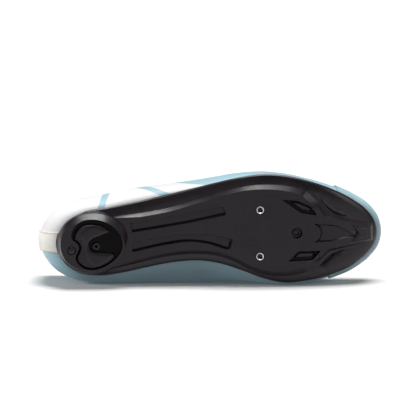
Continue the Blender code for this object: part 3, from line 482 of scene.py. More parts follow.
    def ring(self, place: np.ndarray) -> np.ndarray:
        """The ring's nine values at any place along the edge.

        Args:
            place: places along the sole's edge.

        Returns:
            One row for each place.
        """
        rows, at = self.knots()
        turn, n = at[-1], len(rows)
        wrapped = np.concatenate([rows[-3:], rows, rows[:4]])
        knots = np.concatenate([at[n - 3 : n] - turn, at, at[1:4] + turn])
        return hermite(knots, wrapped, np.mod(np.asarray(place, float), turn))

    def place(self, row: float | np.ndarray) -> np.ndarray:
        """Place along the edge of a ring row, whole or in between."""
        at = self.knots()[1]
        return np.interp(row, np.arange(len(at)), at)

    def edge(self, place: np.ndarray, inwards: float) -> tuple[np.ndarray, np.ndarray]:
        """Points of the sole's outline moved inwards, and the outward direction there.

        Args:
            place: places along the sole's edge.
            inwards: how far the points move in.

        Returns:
            The points and their directions.
        """
        place = np.asarray(place, float)
        along = self.ring(place + 0.5)[:, :2] - self.ring(place - 0.5)[:, :2]
        along /= np.linalg.norm(along, axis=1)[:, None]
        outward = np.stack([along[:, 1], -along[:, 0]], axis=1)
        return self.ring(place)[:, :2] - outward * inwards, outward

    def skin(self, place: np.ndarray, t: np.ndarray) -> np.ndarray:
        """The upper's outer surface.

        Args:
            place: places along the sole's edge.
            t: levels, from 0 at the sole's edge by the bulge to 1 at the rim.

        Returns:
            One point for each pair.
        """
        place, t = (a.ravel() for a in np.broadcast_arrays(np.asarray(place, float), np.asarray(t, float)))
        ring = self.ring(place)
        foot_xy, outward = self.edge(place, self.inset)
        foot = np.column_stack([foot_xy, self.profile(foot_xy[:, 0])[1] + self.gap])
        out3 = np.column_stack([outward, np.zeros(len(place))])
        up3 = np.array([0.0, 0.0, 1.0])
        out, up, top = ring[:, 2:3], ring[:, 3:4], ring[:, 4:7]
        bulge = foot + out3 * out + up3 * up
        away = (bulge - top) * (1, 1, 0)
        away /= np.maximum(np.linalg.norm(away, axis=1)[:, None], 1e-6)
        lift = 0.5 * (top[:, 2:3] - bulge[:, 2:3])
        low = bezier(foot, foot + out3 * out * 0.6 + up3 * up * 0.06, bulge - up3 * up * 0.5, bulge,
                     np.clip(t / self.widest, 0, 1))
        high = bezier(bulge, bulge + up3 * lift, top + away * ring[:, 7:8] - up3 * ring[:, 8:9], top,
                      np.clip((t - self.widest) / (1 - self.widest), 0, 1))
        return np.where((t < self.widest)[:, None], low, high)

    def normal(self, place: np.ndarray, t: np.ndarray) -> np.ndarray:
        """Outward direction of the upper's outer surface.

        Args:
            place: places along the sole's edge.
            t: levels up the upper.

        Returns:
            One direction for each pair.
        """
        place, t = (a.ravel() for a in np.broadcast_arrays(np.asarray(place, float), np.asarray(t, float)))
        along = self.skin(place + 0.6, t) - self.skin(place - 0.6, t)
        rising = self.skin(place, np.minimum(t + 0.004, 1.0)) - self.skin(place, np.maximum(t - 0.004, 0.0))
        normal = np.cross(along, rising)
        return normal / np.linalg.norm(normal, axis=1)[:, None]

    def off_skin(self, place: np.ndarray, t: np.ndarray, distance: float | np.ndarray) -> np.ndarray:
        """Points at a distance out from the upper's outer surface, or in below zero."""
        return self.skin(place, t) + self.normal(place, t) * np.asarray(distance, float).reshape(-1, 1)

    def wall_at(self, place: np.ndarray, t: np.ndarray) -> np.ndarray:
        """Thickness of the upper's wall, padded towards the collar behind the throat.

        Args:
            place: places along the sole's edge.
            t: levels up the upper.

        Returns:
            One thickness for each pair.
        """
        turn = self.round_length()
        from_heel = np.abs(np.mod(place + turn / 2, turn) - turn / 2)
        collar = np.clip((self.place(7.0) - from_heel) / 30.0, 0, 1)
        return self.wall + self.padding * collar * smooth((t - 0.72) / 0.2)


def bezier(p0: np.ndarray, p1: np.ndarray, p2: np.ndarray, p3: np.ndarray, t: np.ndarray) -> np.ndarray:
    """Points of cubic curves, one share for each row of the points."""
    t = t[:, None]
    return (1 - t) ** 3 * p0 + 3 * (1 - t) ** 2 * t * p1 + 3 * (1 - t) * t**2 * p2 + t**3 * p3


# Finishes


def linear(code: str) -> tuple[float, float, float, float]:
    """An sRGB hex colour as linear values with full opacity."""
    parts = [int(code[i : i + 2], 16) / 255 for i in (1, 3, 5)]
    return (*[p / 12.92 if p <= 0.04045 else ((p + 0.055) / 1.055) ** 2.4 for p in parts], 1.0)


def add(tree: bpy.types.NodeTree, kind: str, inputs: dict | None = None, **settings: object) -> bpy.types.Node:
    """Adds a node with its settings and its inputs, each a value or a socket to link.

    Args:
        tree: the node tree.
        kind: the node's type name.
        inputs: values or sockets by the input's name or number.
        settings: the node's own properties.

    Returns:
        The node.
    """
    node = tree.nodes.new(kind)
    for name, value in settings.items():
        setattr(node, name, value)
    for name, value in (inputs or {}).items():
        if isinstance(value, bpy.types.NodeSocket):
            tree.links.new(value, node.inputs[name])
        else:
            node.inputs[name].default_value = value
    return node


def maths(tree: bpy.types.NodeTree, operation: str, *values: object) -> bpy.types.NodeSocket:
    """The result of one sum on values or sockets."""
    return add(tree, "ShaderNodeMath", dict(enumerate(values)), operation=operation).outputs[0]


@dataclass(frozen=True)
class Finish:
    """A real material: its name, main colour and how it takes light."""

    name: str
    colour: str
    roughness: float
    metallic: float = 0.0
    grain: float = 0.4
    relief: float = 0.03
    sheen: float = 0.0
    coat: float = 0.0
    specular: float = 0.5
    blotch: float = 14.0
    stain: float = 0.1

    def material(self) -> bpy.types.Material:
        """The material, made once and then shared.

        Returns:
            The material.
        """
        known = bpy.data.materials.get(self.name)
        if known:
            return known
        made = bpy.data.materials.new(self.name)
        made.use_nodes = True
        tree = made.node_tree
        shader = tree.nodes["Principled BSDF"]
        shader.inputs["Metallic"].default_value = self.metallic
        shader.inputs["Sheen Weight"].default_value = self.sheen
        shader.inputs["Coat Weight"].default_value = self.coat
        shader.inputs["Specular IOR Level"].default_value = self.specular
        shader.inputs["Coat Roughness"].default_value = 0.3
        self.dress(tree, shader)
        return made

    def dress(self, tree: bpy.types.NodeTree, shader: bpy.types.Node) -> None:
        """Adds the colour, gloss and relief that the material's making leaves.

        Args:
            tree: the material's nodes.
            shader: its main shader.
        """
        at = add(tree, "ShaderNodeTexCoord").outputs["Object"]
        cloud = self.noise(tree, at, self.blotch)
        base = self.shade(tree, cloud, linear(self.colour), self.stain)
        tree.links.new(base, shader.inputs["Base Color"])
        self.gloss(tree, shader, cloud)
        self.bump(tree, shader, self.noise(tree, at, self.grain))

    def noise(self, tree: bpy.types.NodeTree, at: bpy.types.NodeSocket, size: float,
              detail: float = 3.0) -> bpy.types.NodeSocket:
        """Cloudy values whose blotches are about a size in millimetres across."""
        return add(tree, "ShaderNodeTexNoise", {"Vector": at, "Scale": 1000 / size, "Detail": detail}).outputs["Fac"]

    def shade(self, tree: bpy.types.NodeTree, by: bpy.types.NodeSocket, colour: tuple | bpy.types.NodeSocket,
              depth: float) -> bpy.types.NodeSocket:
        """A colour made a little darker and lighter by some values."""
        spread = add(tree, "ShaderNodeMapRange", {"Value": by, "From Min": 0.3, "From Max": 0.7,
                                                  "To Min": 1 - depth, "To Max": 1 + depth}).outputs[0]
        return add(tree, "ShaderNodeVectorMath", {0: colour[:3] if isinstance(colour, tuple) else colour, 1: spread},
                   operation="MULTIPLY").outputs[0]

    def gloss(self, tree: bpy.types.NodeTree, shader: bpy.types.Node, by: bpy.types.NodeSocket) -> None:
        """Lets the roughness wander a little, as handled surfaces do."""
        rough = add(tree, "ShaderNodeMapRange", {"Value": by, "From Min": 0.3, "From Max": 0.7,
                                                 "To Min": self.roughness - 0.05, "To Max": self.roughness + 0.05})
        tree.links.new(rough.outputs[0], shader.inputs["Roughness"])

    def bump(self, tree: bpy.types.NodeTree, shader: bpy.types.Node, height: bpy.types.NodeSocket) -> None:
        """Relief in millimetres from values between 0 and 1."""
        node = add(tree, "ShaderNodeBump", {"Height": height, "Distance": self.relief * MM, "Strength": 1.0})
        tree.links.new(node.outputs["Normal"], shader.inputs["Normal"])


@dataclass(frozen=True)
class Board(Finish):
    """Wide painted board, even but for very faint clouds."""

    def dress(self, tree: bpy.types.NodeTree, shader: bpy.types.Node) -> None:
        """Adds the faint clouds.

        Args:
            tree: the material's nodes.
            shader: its main shader.
        """
        at = add(tree, "ShaderNodeTexCoord").outputs["Object"]
        base = self.shade(tree, self.noise(tree, at, self.grain, 1.0), linear(self.colour), 0.006)
        tree.links.new(base, shader.inputs["Base Color"])
        shader.inputs["Roughness"].default_value = self.roughness


@dataclass(frozen=True)
class Woven(Finish):
    """Cloth of crossing threads, drawn along the piece's own length and width."""

    pitch: float = 0.8
    second: str = "#000000"
    layer: str = "skin"

    def dress(self, tree: bpy.types.NodeTree, shader: bpy.types.Node) -> None:
        """Adds threads that pass over and under each other.

        Args:
            tree: the material's nodes.
            shader: its main shader.
        """
        at = add(tree, "ShaderNodeUVMap", uv_map=self.layer).outputs["UV"]
        parts = add(tree, "ShaderNodeSeparateXYZ", {0: at})
        turns = 1000 / self.pitch * math.pi
        warp = maths(tree, "ABSOLUTE", maths(tree, "SINE", maths(tree, "MULTIPLY", parts.outputs[0], turns)))
        weft = maths(tree, "ABSOLUTE", maths(tree, "SINE", maths(tree, "MULTIPLY", parts.outputs[1], turns)))
        height = maths(tree, "MULTIPLY", warp, weft)
        mixed = add(tree, "ShaderNodeMix", {"Factor": height, 6: linear(self.second), 7: linear(self.colour)},
                    data_type="RGBA").outputs[2]
        cloud = self.noise(tree, add(tree, "ShaderNodeTexCoord").outputs["Object"], 9.0)
        tree.links.new(self.shade(tree, cloud, mixed, 0.06), shader.inputs["Base Color"])
        self.gloss(tree, shader, cloud)
        self.bump(tree, shader, height)


@dataclass(frozen=True)
class Bands:
    """The upper's colours: a pale outer quarter with plain bands on it, on a coloured shoe.

    u runs round the sole's edge in metres from the heel's back, v up the side from 0 to 1.
    """

    back: float
    front: float
    lean: float
    bars: tuple[tuple[float, float, float, float, float], ...]

    def mask(self, tree: bpy.types.NodeTree, u: bpy.types.NodeSocket, v: bpy.types.NodeSocket) -> bpy.types.NodeSocket:
        """1 where the pale quarter shows, 0 where the shoe's own colour does.

        Args:
            tree: the material's nodes.
            u: the way round the sole's edge.
            v: the level up the side.

        Returns:
            The mask.
        """
        edge = maths(tree, "SUBTRACT", self.front, maths(tree, "MULTIPLY", v, self.lean))
        ahead = self._step(tree, maths(tree, "SUBTRACT", edge, u))
        behind = self._step(tree, maths(tree, "SUBTRACT", u, self.back))
        pale = maths(tree, "MULTIPLY", ahead, behind)
        for middle, lean, half, low, high in self.bars:
            line = maths(tree, "ADD", middle, maths(tree, "MULTIPLY", v, lean))
            off = maths(tree, "ABSOLUTE", maths(tree, "SUBTRACT", u, line))
            bar = self._step(tree, maths(tree, "SUBTRACT", half, off))
            over = self._step(tree, maths(tree, "MULTIPLY", maths(tree, "SUBTRACT", v, low), 0.08))
            under = self._step(tree, maths(tree, "MULTIPLY", maths(tree, "SUBTRACT", high, v), 0.08))
            bar = maths(tree, "MULTIPLY", bar, maths(tree, "MULTIPLY", over, under))
            pale = maths(tree, "MULTIPLY", pale, maths(tree, "SUBTRACT", 1.0, bar))
        return pale

    @staticmethod
    def _step(tree: bpy.types.NodeTree, metres: bpy.types.NodeSocket) -> bpy.types.NodeSocket:
        """A printed edge that goes from 0 to 1 within a third of a millimetre."""
        return add(tree, "ShaderNodeMapRange", {"Value": metres, "From Min": -0.00015, "From Max": 0.00015},
                   interpolation_type="SMOOTHSTEP").outputs[0]


@dataclass(frozen=True)
class Microfibre(Finish):
    """Coated synthetic leather with a fine leather grain and a printed colour."""

    pale: str = "#ffffff"
    bands: Bands | None = None

    def dress(self, tree: bpy.types.NodeTree, shader: bpy.types.Node) -> None:
        """Adds the grain's small plates, the creases between them and the two colours.

        Args:
            tree: the material's nodes.
            shader: its main shader.
        """
        at = add(tree, "ShaderNodeTexCoord").outputs["Object"]
        cells = add(tree, "ShaderNodeTexVoronoi", {"Vector": at, "Scale": 1000 / self.grain},
                    feature="DISTANCE_TO_EDGE").outputs["Distance"]
        plates = add(tree, "ShaderNodeMapRange", {"Value": cells, "From Max": 0.12}).outputs[0]
        cloud = self.noise(tree, at, 18.0)
        colour: tuple | bpy.types.NodeSocket = linear(self.colour)
        if self.bands:
            own = add(tree, "ShaderNodeSeparateXYZ", {0: add(tree, "ShaderNodeUVMap", uv_map="skin").outputs["UV"]})
            mask = self.bands.mask(tree, own.outputs[0], own.outputs[1])
            colour = add(tree, "ShaderNodeMix", {"Factor": mask, 6: linear(self.colour), 7: linear(self.pale)},
                         data_type="RGBA").outputs[2]
        tree.links.new(self.shade(tree, cloud, colour, 0.035), shader.inputs["Base Color"])
        self.gloss(tree, shader, cloud)
        self.bump(tree, shader, maths(tree, "ADD", plates, maths(tree, "MULTIPLY", self.noise(tree, at, 0.3), 0.5)))


# Glass filled nylon, injection moulded: a deep black whose short fibres dull the gloss unevenly
NYLON = Finish("moulded glass filled nylon", "#1c131b", 0.32, grain=0.5, relief=0.02, specular=0.36)
# The same nylon in its deep pockets, smooth, near black and with little specular: painted shade in the pockets
POCKET_SHADE_NYLON = Finish("glass filled nylon with painted pocket shade", "#0e0b0e", 0.2, grain=2.0, relief=0.01, specular=0.1)
# Moulded rubber: duller than the nylon, with a fine spark-eroded grain
RUBBER = Finish("moulded black rubber", "#1d151c", 0.42, grain=0.6, relief=0.03, specular=0.36)
# The same rubber on the heel pad's floors that are not raised, smooth, near black and with little specular: painted
# shade in the recesses
RECESS_SHADE_RUBBER = Finish("black rubber with painted recess shade", "#0a080a", 0.16, grain=2.0, relief=0.01, specular=0.07)
# Zinc plated steel, turned: bright, with a few dull stains
ZINC = Finish("zinc plated steel", "#d9dadb", 0.24, 1.0, grain=0.25, relief=0.01, blotch=3.0, stain=0.12)
# Oxide blackened steel: dark and satin, as on small socket screws
BLACK_STEEL = Finish("blackened steel", "#39393c", 0.34, 1.0, grain=0.3, relief=0.01, blotch=3.0, stain=0.12)
# The same steel down in the sockets, near black: painted shade in the sockets
SOCKET_SHADE_STEEL = Finish("black steel with painted socket shade", "#0d0d0e", 0.4, 1.0, grain=0.3, relief=0.01, blotch=3.0, stain=0.12)
# Moulded polyurethane: smooth and a little glossier than the microfibre round it
GUARD = Finish("moulded polyurethane", "#a6c8d3", 0.38, grain=0.7, relief=0.02, coat=0.15)
# Nylon webbing, plain woven: a matt off-white with rows of ribs
WEBBING = Woven("nylon webbing", "#fdfcf8", 0.75, relief=0.12, sheen=0.2, pitch=1.0, second="#efede6")
# Rolled beige piping cord, wrapped in thin cloth
PIPING = Finish("beige piping", "#d9cfbe", 0.7, grain=0.5, relief=0.06)
# Polyester spacer mesh on foam: open, pale and soft; its holes are drawn 1.4 mm apart
LINING = Woven("polyester lining mesh", "#dfe2e3", 0.85, relief=0.15, sheen=0.3, pitch=1.4, second="#b9bfc3")
# Foam footbed under brushed nylon cloth: dark, matt and slightly fuzzy
FOOTBED = Finish("brushed nylon footbed", "#33363b", 0.92, grain=0.6, relief=0.1, sheen=0.4)
# The strap's coated face: smooth, pale and slightly stretched
STRAP = Microfibre("coated strap", "#eef0f1", 0.5, grain=1.2, relief=0.03)
# Bonded polyester sewing thread, a little glossy, in the shoe's colour
THREAD = Finish("bonded polyester thread", "#b9cdd3", 0.55, grain=0.3, relief=0.03)
# Pale thread for the white pieces
PALE_THREAD = Finish("pale polyester thread", "#e4e5e2", 0.6, grain=0.3, relief=0.03)


# Mesh helpers


def grid_faces(rows: int, columns: int, wrap_rows: bool = False, wrap_columns: bool = False) -> list[tuple[int, ...]]:
    """Quads of a grid numbered row by row, which may close on itself either way.

    Args:
        rows: how many rows of points.
        columns: how many points in a row.
        wrap_rows: whether the last row joins the first.
        wrap_columns: whether each row closes.

    Returns:
        The faces.
    """
    last_r = rows if wrap_rows else rows - 1
    last_c = columns if wrap_columns else columns - 1
    return [
        (r * columns + c, r * columns + (c + 1) % columns,
         (r + 1) % rows * columns + (c + 1) % columns, (r + 1) % rows * columns + c)
        for r in range(last_r) for c in range(last_c)
    ]


def placed(name: str, data: bpy.types.ID) -> bpy.types.Object:
    """A new object in the scene.

    Args:
        name: its name.
        data: its mesh, curve, light or camera.

    Returns:
        The object.
    """
    made = bpy.data.objects.new(name, data)
    bpy.context.scene.collection.objects.link(made)
    return made


def node_tree(name: str, sizes: Sequence[str]) -> bpy.types.NodeTree:
    """An empty tree of geometry nodes with a geometry coming in and going out.

    Args:
        name: the tree's name.
        sizes: the names of its inputs for sizes.

    Returns:
        The tree.
    """
    tree = bpy.data.node_groups.new(name, "GeometryNodeTree")
    tree.interface.new_socket("Geometry", in_out="INPUT", socket_type="NodeSocketGeometry")
    for size in sizes:
        tree.interface.new_socket(size, in_out="INPUT", socket_type="NodeSocketFloat")
    tree.interface.new_socket("Geometry", in_out="OUTPUT", socket_type="NodeSocketGeometry")
    return tree


@dataclass
class Workshop:
    """Makes finished pieces from points in the shoe's own millimetres."""

    last: Last
    seat: Matrix
    made: list[bpy.types.Object] = field(default_factory=list)

    def world(self, points: np.ndarray) -> np.ndarray:
        """Own millimetres as metres in the model."""
        turn = np.array(self.seat.to_3x3())
        return np.asarray(points, float) @ turn.T + np.array(self.seat.translation)

    def piece(self, name: str, points: np.ndarray, faces: Sequence, finishes: Sequence[Finish],
              uv: np.ndarray | None = None, pick: Sequence[int] | None = None, sharp: float = 40.0) -> bpy.types.Object:
        """A smooth-shaded piece in its place.

        Args:
            name: the piece's name.
            points: its points in own millimetres.
            faces: its faces, facing outwards.
            finishes: its materials.
            uv: one pair for each point, kept as the layer "skin".
            pick: which material each face takes.
            sharp: edges that turn more than this many degrees stay sharp.

        Returns:
            The object.
        """
        mesh = bpy.data.meshes.new(name)
        mesh.from_pydata([tuple(p) for p in self.world(points)], [], [tuple(int(i) for i in f) for f in faces])
        if uv is not None:
            layer = mesh.uv_layers.new(name="skin")
            corners = np.empty(len(mesh.loops), dtype=np.int32)
            mesh.loops.foreach_get("vertex_index", corners)
            layer.data.foreach_set("uv", np.asarray(uv, float)[corners].ravel())
        for finish in finishes:
            mesh.materials.append(finish.material())
        if pick is not None:
            mesh.polygons.foreach_set("material_index", list(pick))
        mesh.shade_smooth()
        mesh.set_sharp_from_angle(angle=math.radians(sharp))
        return placed(name, mesh)

    def settle(self, piece: bpy.types.Object, slot: str, *nodes: str) -> bpy.types.Object:
        """Fixes a piece to the shoe's body and hides what it stands for.

        Args:
            piece: the piece.
            slot: not used.
            nodes: the CAD nodes that it stands for.

        Returns:
            The same piece.
        """
        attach(piece, "root")
        if nodes:
            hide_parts(*nodes)
        self.made.append(piece)
        log.info("%s: %d faces%s", piece.name, len(piece.data.polygons), f", for {', '.join(nodes)}" if nodes else "")
        return piece

    def sheet(self, far: np.ndarray, near: np.ndarray) -> tuple[np.ndarray, list[tuple[int, ...]]]:
        """A closed wall between two grids of points, far the one that faces out.

        Args:
            far: the outer grid of points.
            near: the inner grid of points.

        Returns:
            The points, and the faces by their points' numbers.
        """
        rows, columns = far.shape[:2]
        count = rows * columns
        made = [tuple(f) for f in grid_faces(rows, columns)]
        made += [tuple(i + count for i in f[::-1]) for f in grid_faces(rows, columns)]
        rim = ([(0, c) for c in range(columns)] + [(r, columns - 1) for r in range(1, rows)]
               + [(rows - 1, c) for c in range(columns - 2, -1, -1)] + [(r, 0) for r in range(rows - 2, 0, -1)])
        around = [r * columns + c for r, c in rim]
        made += [(b, a, a + count, b + count) for a, b in zip(around, around[1:] + around[:1])]
        return np.concatenate([far.reshape(-1, 3), near.reshape(-1, 3)]), made

    def tube(self, path: np.ndarray, radius: float, sides: int = 10) -> tuple[np.ndarray, list[tuple[int, ...]]]:
        """A round cord along a path, with closed ends.

        Args:
            path: the points that the cord follows.
            radius: half its thickness.
            sides: how many sides it has.

        Returns:
            The points, and the faces by their points' numbers.
        """
        along = np.gradient(path, axis=0)
        along /= np.linalg.norm(along, axis=1)[:, None]
        side = np.cross(along, np.where(np.abs(along[:, 2:3]) < 0.9, [[0.0, 0.0, 1.0]], [[1.0, 0.0, 0.0]]))
        side /= np.linalg.norm(side, axis=1)[:, None]
        up = np.cross(side, along)
        turn = np.linspace(0, 2 * math.pi, sides, endpoint=False)
        ring = np.cos(turn)[None, :, None] * side[:, None] + np.sin(turn)[None, :, None] * up[:, None]
        points = (path[:, None] + ring * radius).reshape(-1, 3)
        faces = [f[::-1] for f in grid_faces(len(path), sides, wrap_columns=True)]
        last = (len(path) - 1) * sides
        faces += [tuple(range(sides)), tuple(range(last, last + sides))[::-1]]
        return points, faces

    def soften(self, piece: bpy.types.Object, width: float, segments: int = 2) -> None:
        """Rounds a piece's edges, and makes the rounding part of its mesh.

        Args:
            piece: the piece.
            width: how wide each rounding is.
            segments: how many faces it has.
        """
        bevel = piece.modifiers.new("rounded edges", "BEVEL")
        bevel.width = width * MM
        bevel.segments = segments
        bevel.limit_method = "ANGLE"
        bevel.angle_limit = math.radians(40)
        bevel.harden_normals = False
        self.bake(piece)

    def smoothed(self, piece: bpy.types.Object, levels: int) -> None:
        """Subdivides a piece smoothly, and makes that part of its mesh.

        Args:
            piece: the piece.
            levels: how often it is subdivided.
        """
        surface = piece.modifiers.new("smooth", "SUBSURF")
        surface.levels = surface.render_levels = levels
        self.bake(piece)

    def bake(self, piece: bpy.types.Object) -> None:
        """Replaces a piece's mesh by what its modifiers make of it."""
        piece.data = self.result(piece)

    def result(self, piece: bpy.types.Object) -> bpy.types.Mesh:
        """What a piece's modifiers make of it, as a plain mesh; the modifiers are then removed.

        Args:
            piece: the object with the modifiers.

        Returns:
            The mesh.
        """
        mesh = bpy.data.meshes.new_from_object(piece.evaluated_get(bpy.context.evaluated_depsgraph_get()))
        piece.modifiers.clear()
        return mesh

    def grow(self, carrier: bpy.types.Object, tree: bpy.types.NodeTree, sizes: dict[str, float]) -> bpy.types.Mesh:
        """Lets a tree of nodes work on a carrier.

        Args:
            carrier: the object with the points or the path.
            tree: the tree of nodes.
            sizes: millimetres by the names of the tree's inputs.

        Returns:
            The mesh that the tree makes.
        """
        layer = carrier.modifiers.new(tree.name, "NODES")
        layer.node_group = tree
        for item in tree.interface.items_tree:
            if item.in_out == "INPUT" and item.name in sizes:
                layer[item.identifier] = sizes[item.name] * MM
        return self.result(carrier)


@dataclass(frozen=True)
class Stitching:
    """A row of sewn stitches: rounded thread lengths that follow a path."""

    spacing: float = 2.6
    length: float = 2.0
    radius: float = 0.26

    def tree(self, finish: Finish) -> bpy.types.NodeTree:
        """The tree of nodes that lays thread lengths along a curve.

        Args:
            finish: the thread.

        Returns:
            The tree.
        """
        tree = node_tree("stitches", ("Spacing", "Length", "Radius"))
        given = add(tree, "NodeGroupInput").outputs
        points = add(tree, "GeometryNodeCurveToPoints", {"Curve": given["Geometry"], "Length": given["Spacing"]},
                     mode="LENGTH")
        thread = add(tree, "GeometryNodeMeshUVSphere", {"Segments": 8, "Rings": 6, "Radius": 1.0})
        half = maths(tree, "MULTIPLY", given["Length"], 0.5)
        size = add(tree, "ShaderNodeCombineXYZ", {0: given["Radius"], 1: given["Radius"], 2: half})
        laid = add(tree, "GeometryNodeInstanceOnPoints", {
            "Points": points.outputs["Points"], "Instance": thread.outputs["Mesh"],
            "Rotation": points.outputs["Rotation"], "Scale": size.outputs[0]})
        real = add(tree, "GeometryNodeRealizeInstances", {"Geometry": laid.outputs[0]})
        round_shade = add(tree, "GeometryNodeSetShadeSmooth", {"Geometry": real.outputs[0]})
        dressed = add(tree, "GeometryNodeSetMaterial", {
            "Geometry": round_shade.outputs[0], "Material": finish.material()})
        add(tree, "NodeGroupOutput", {"Geometry": dressed.outputs[0]})
        return tree

    def sew(self, shop: Workshop, name: str, paths: Sequence[np.ndarray], finish: Finish,
            slot: str) -> bpy.types.Object:
        """Sews along paths in own millimetres.

        Args:
            shop: the workshop.
            name: the piece's name.
            paths: one run of points for each row.
            finish: the thread.
            slot: the record's slot that the thread goes with.

        Returns:
            The stitches as one piece.
        """
        curve = bpy.data.curves.new(name + " path", "CURVE")
        curve.dimensions = "3D"
        for path in paths:
            spline = curve.splines.new("POLY")
            spline.points.add(len(path) - 1)
            for point, at in zip(spline.points, shop.world(path)):
                point.co = (*at, 1.0)
        carrier = placed(name + " path", curve)
        sizes = {"Spacing": self.spacing, "Length": self.length, "Radius": self.radius}
        mesh = shop.grow(carrier, self.tree(finish), sizes)
        bpy.data.objects.remove(carrier)
        return shop.settle(placed(name, mesh), slot)


@dataclass(frozen=True)
class Marks:
    """Small raised bars, or round pegs from 5 sides up, set out at points."""

    size: tuple[float, float, float]
    sides: int = 4

    def tree(self, finish: Finish, turn: Sequence[float]) -> bpy.types.NodeTree:
        """The tree of nodes that puts one bar or peg at every point.

        Args:
            finish: the marks' material.
            turn: how they are turned, as three angles.

        Returns:
            The tree.
        """
        tree = node_tree("marks", ("Along", "Across", "Height"))
        given = add(tree, "NodeGroupInput").outputs
        if self.sides == 4:
            size = add(tree, "ShaderNodeCombineXYZ", {0: given["Along"], 1: given["Across"], 2: given["Height"]})
            one = add(tree, "GeometryNodeMeshCube", {"Size": size.outputs[0]})
        else:
            radius = maths(tree, "MULTIPLY", given["Along"], 0.5)
            one = add(tree, "GeometryNodeMeshCylinder", {
                "Vertices": self.sides, "Radius": radius, "Depth": given["Height"]})
        laid = add(tree, "GeometryNodeInstanceOnPoints", {
            "Points": given["Geometry"], "Instance": one.outputs["Mesh"], "Rotation": turn})
        real = add(tree, "GeometryNodeRealizeInstances", {"Geometry": laid.outputs[0]})
        dressed = add(tree, "GeometryNodeSetMaterial", {"Geometry": real.outputs[0], "Material": finish.material()})
        add(tree, "NodeGroupOutput", {"Geometry": dressed.outputs[0]})
        return tree

    def set_out(self, shop: Workshop, name: str, points: np.ndarray, turn: Sequence[float], finish: Finish,
                slot: str) -> bpy.types.Object:
        """Sets the marks out.

        Args:
            shop: the workshop.
            name: the piece's name.
            points: their middles in own millimetres.
            turn: how they are turned in the model, as three angles.
            finish: their material.
            slot: the record's slot, passed on to the workshop.

        Returns:
            The marks as one piece.
        """
        mesh = bpy.data.meshes.new(name)
        mesh.from_pydata([tuple(p) for p in shop.world(points)], [], [])
        made = placed(name, mesh)
        made.data = shop.grow(made, self.tree(finish, turn), dict(zip(("Along", "Across", "Height"), self.size)))
        return shop.settle(made, slot)


# Pieces of the sole


@dataclass(frozen=True)
class Step:
    """One level change in a moulded underside.

    loop is where the wall starts, run how far in it ends, rise the height that it adds and
    soft the radius that eases both of its edges.
    """

    loop: np.ndarray
    run: float
    rise: Callable[[np.ndarray], np.ndarray] | float
    soft: float = 0.25

    def loops(self) -> list[np.ndarray]:
        """Outlines that the wall and its eased edges need."""
        return [inset(self.loop, d) for d in (-self.soft, 0.0, self.run / 2, self.run, self.run + self.soft)]

    def height(self, plan: np.ndarray) -> np.ndarray:
        """What the step adds at each point in plan."""
        share = smooth((depth_in(plan, self.loop) + self.soft) / (self.run + 2 * self.soft))
        return share * (self.rise(plan) if callable(self.rise) else self.rise)


@dataclass(frozen=True)
class Flank(Step):
    """A level change whose straight wall runs from its loop to a second one, as wide as they are apart."""

    inner: np.ndarray = field(default_factory=lambda: np.zeros((0, 2)))

    def loops(self) -> list[np.ndarray]:
        """Both outlines and the eased edges beside them."""
        return [inset(self.loop, -self.soft), self.loop, self.inner, inset(self.inner, self.soft)]

    def height(self, plan: np.ndarray) -> np.ndarray:
        """What the flank adds at each point in plan.

        Args:
            plan: places in plan.

        Returns:
            One height for each place.
        """
        started = np.maximum(depth_in(plan, self.loop) + self.soft, 0)
        left = np.maximum(self.soft - depth_in(plan, self.inner), 0)
        share = started / np.maximum(started + left, 1e-9)
        return share * (self.rise(plan) if callable(self.rise) else self.rise)


@dataclass
class Moulding:
    """A moulded plate whose underside is worked into steps with eased edges."""

    rim: np.ndarray
    steps: list[Step]
    under: Callable[[np.ndarray], np.ndarray]
    over: Callable[[np.ndarray], np.ndarray]
    spacing: float
    lip: float = 0.35

    def build(self) -> tuple[np.ndarray, list[tuple[int, ...]]]:
        """The closed plate's points and faces.

        Returns:
            The points, and the faces by their points' numbers.
        """
        loops = [self.rim] + [loop for step in self.steps for loop in step.loops()]
        loops += [inset(self.rim, d) for d in (0.25, 0.55, 1.0, 2.2, 4.0)]
        plan, faces = triangles_between(loops, grid_in(self.rim, self.spacing, loops), self.rim)
        low = self.under(plan)
        for step in self.steps:
            low += step.height(plan)
        around = outline_of(faces)
        edge = plan[around]
        rings = [np.column_stack([plan, low])]
        bottom, top = low[around], self.over(edge)
        out = inset(edge, -self.lip)
        for share in (0.25, 0.75):
            rings.append(np.column_stack([out, bottom + (top - bottom) * share]))
        top_plan, top_faces = triangles_between([edge], grid_in(edge, self.spacing * 2, [edge]), edge)
        rings.append(np.column_stack([top_plan, self.over(top_plan)]))
        n, first = len(around), len(plan)
        place = {tuple(np.round(p, 4)): i for i, p in enumerate(top_plan)}
        above = [place[tuple(np.round(p, 4))] + first + 2 * n for p in edge]
        made = [tuple(f[::-1]) for f in faces.tolist()]
        made += [tuple(i + first + 2 * n for i in f) for f in top_faces.tolist()]
        levels = [around, list(range(first, first + n)), list(range(first + n, first + 2 * n)), above]
        for lower, upper in zip(levels, levels[1:]):
            for i in range(n):
                j = (i + 1) % n
                made.append((lower[i], lower[j], upper[j], upper[i]))
        return np.concatenate(rings), made


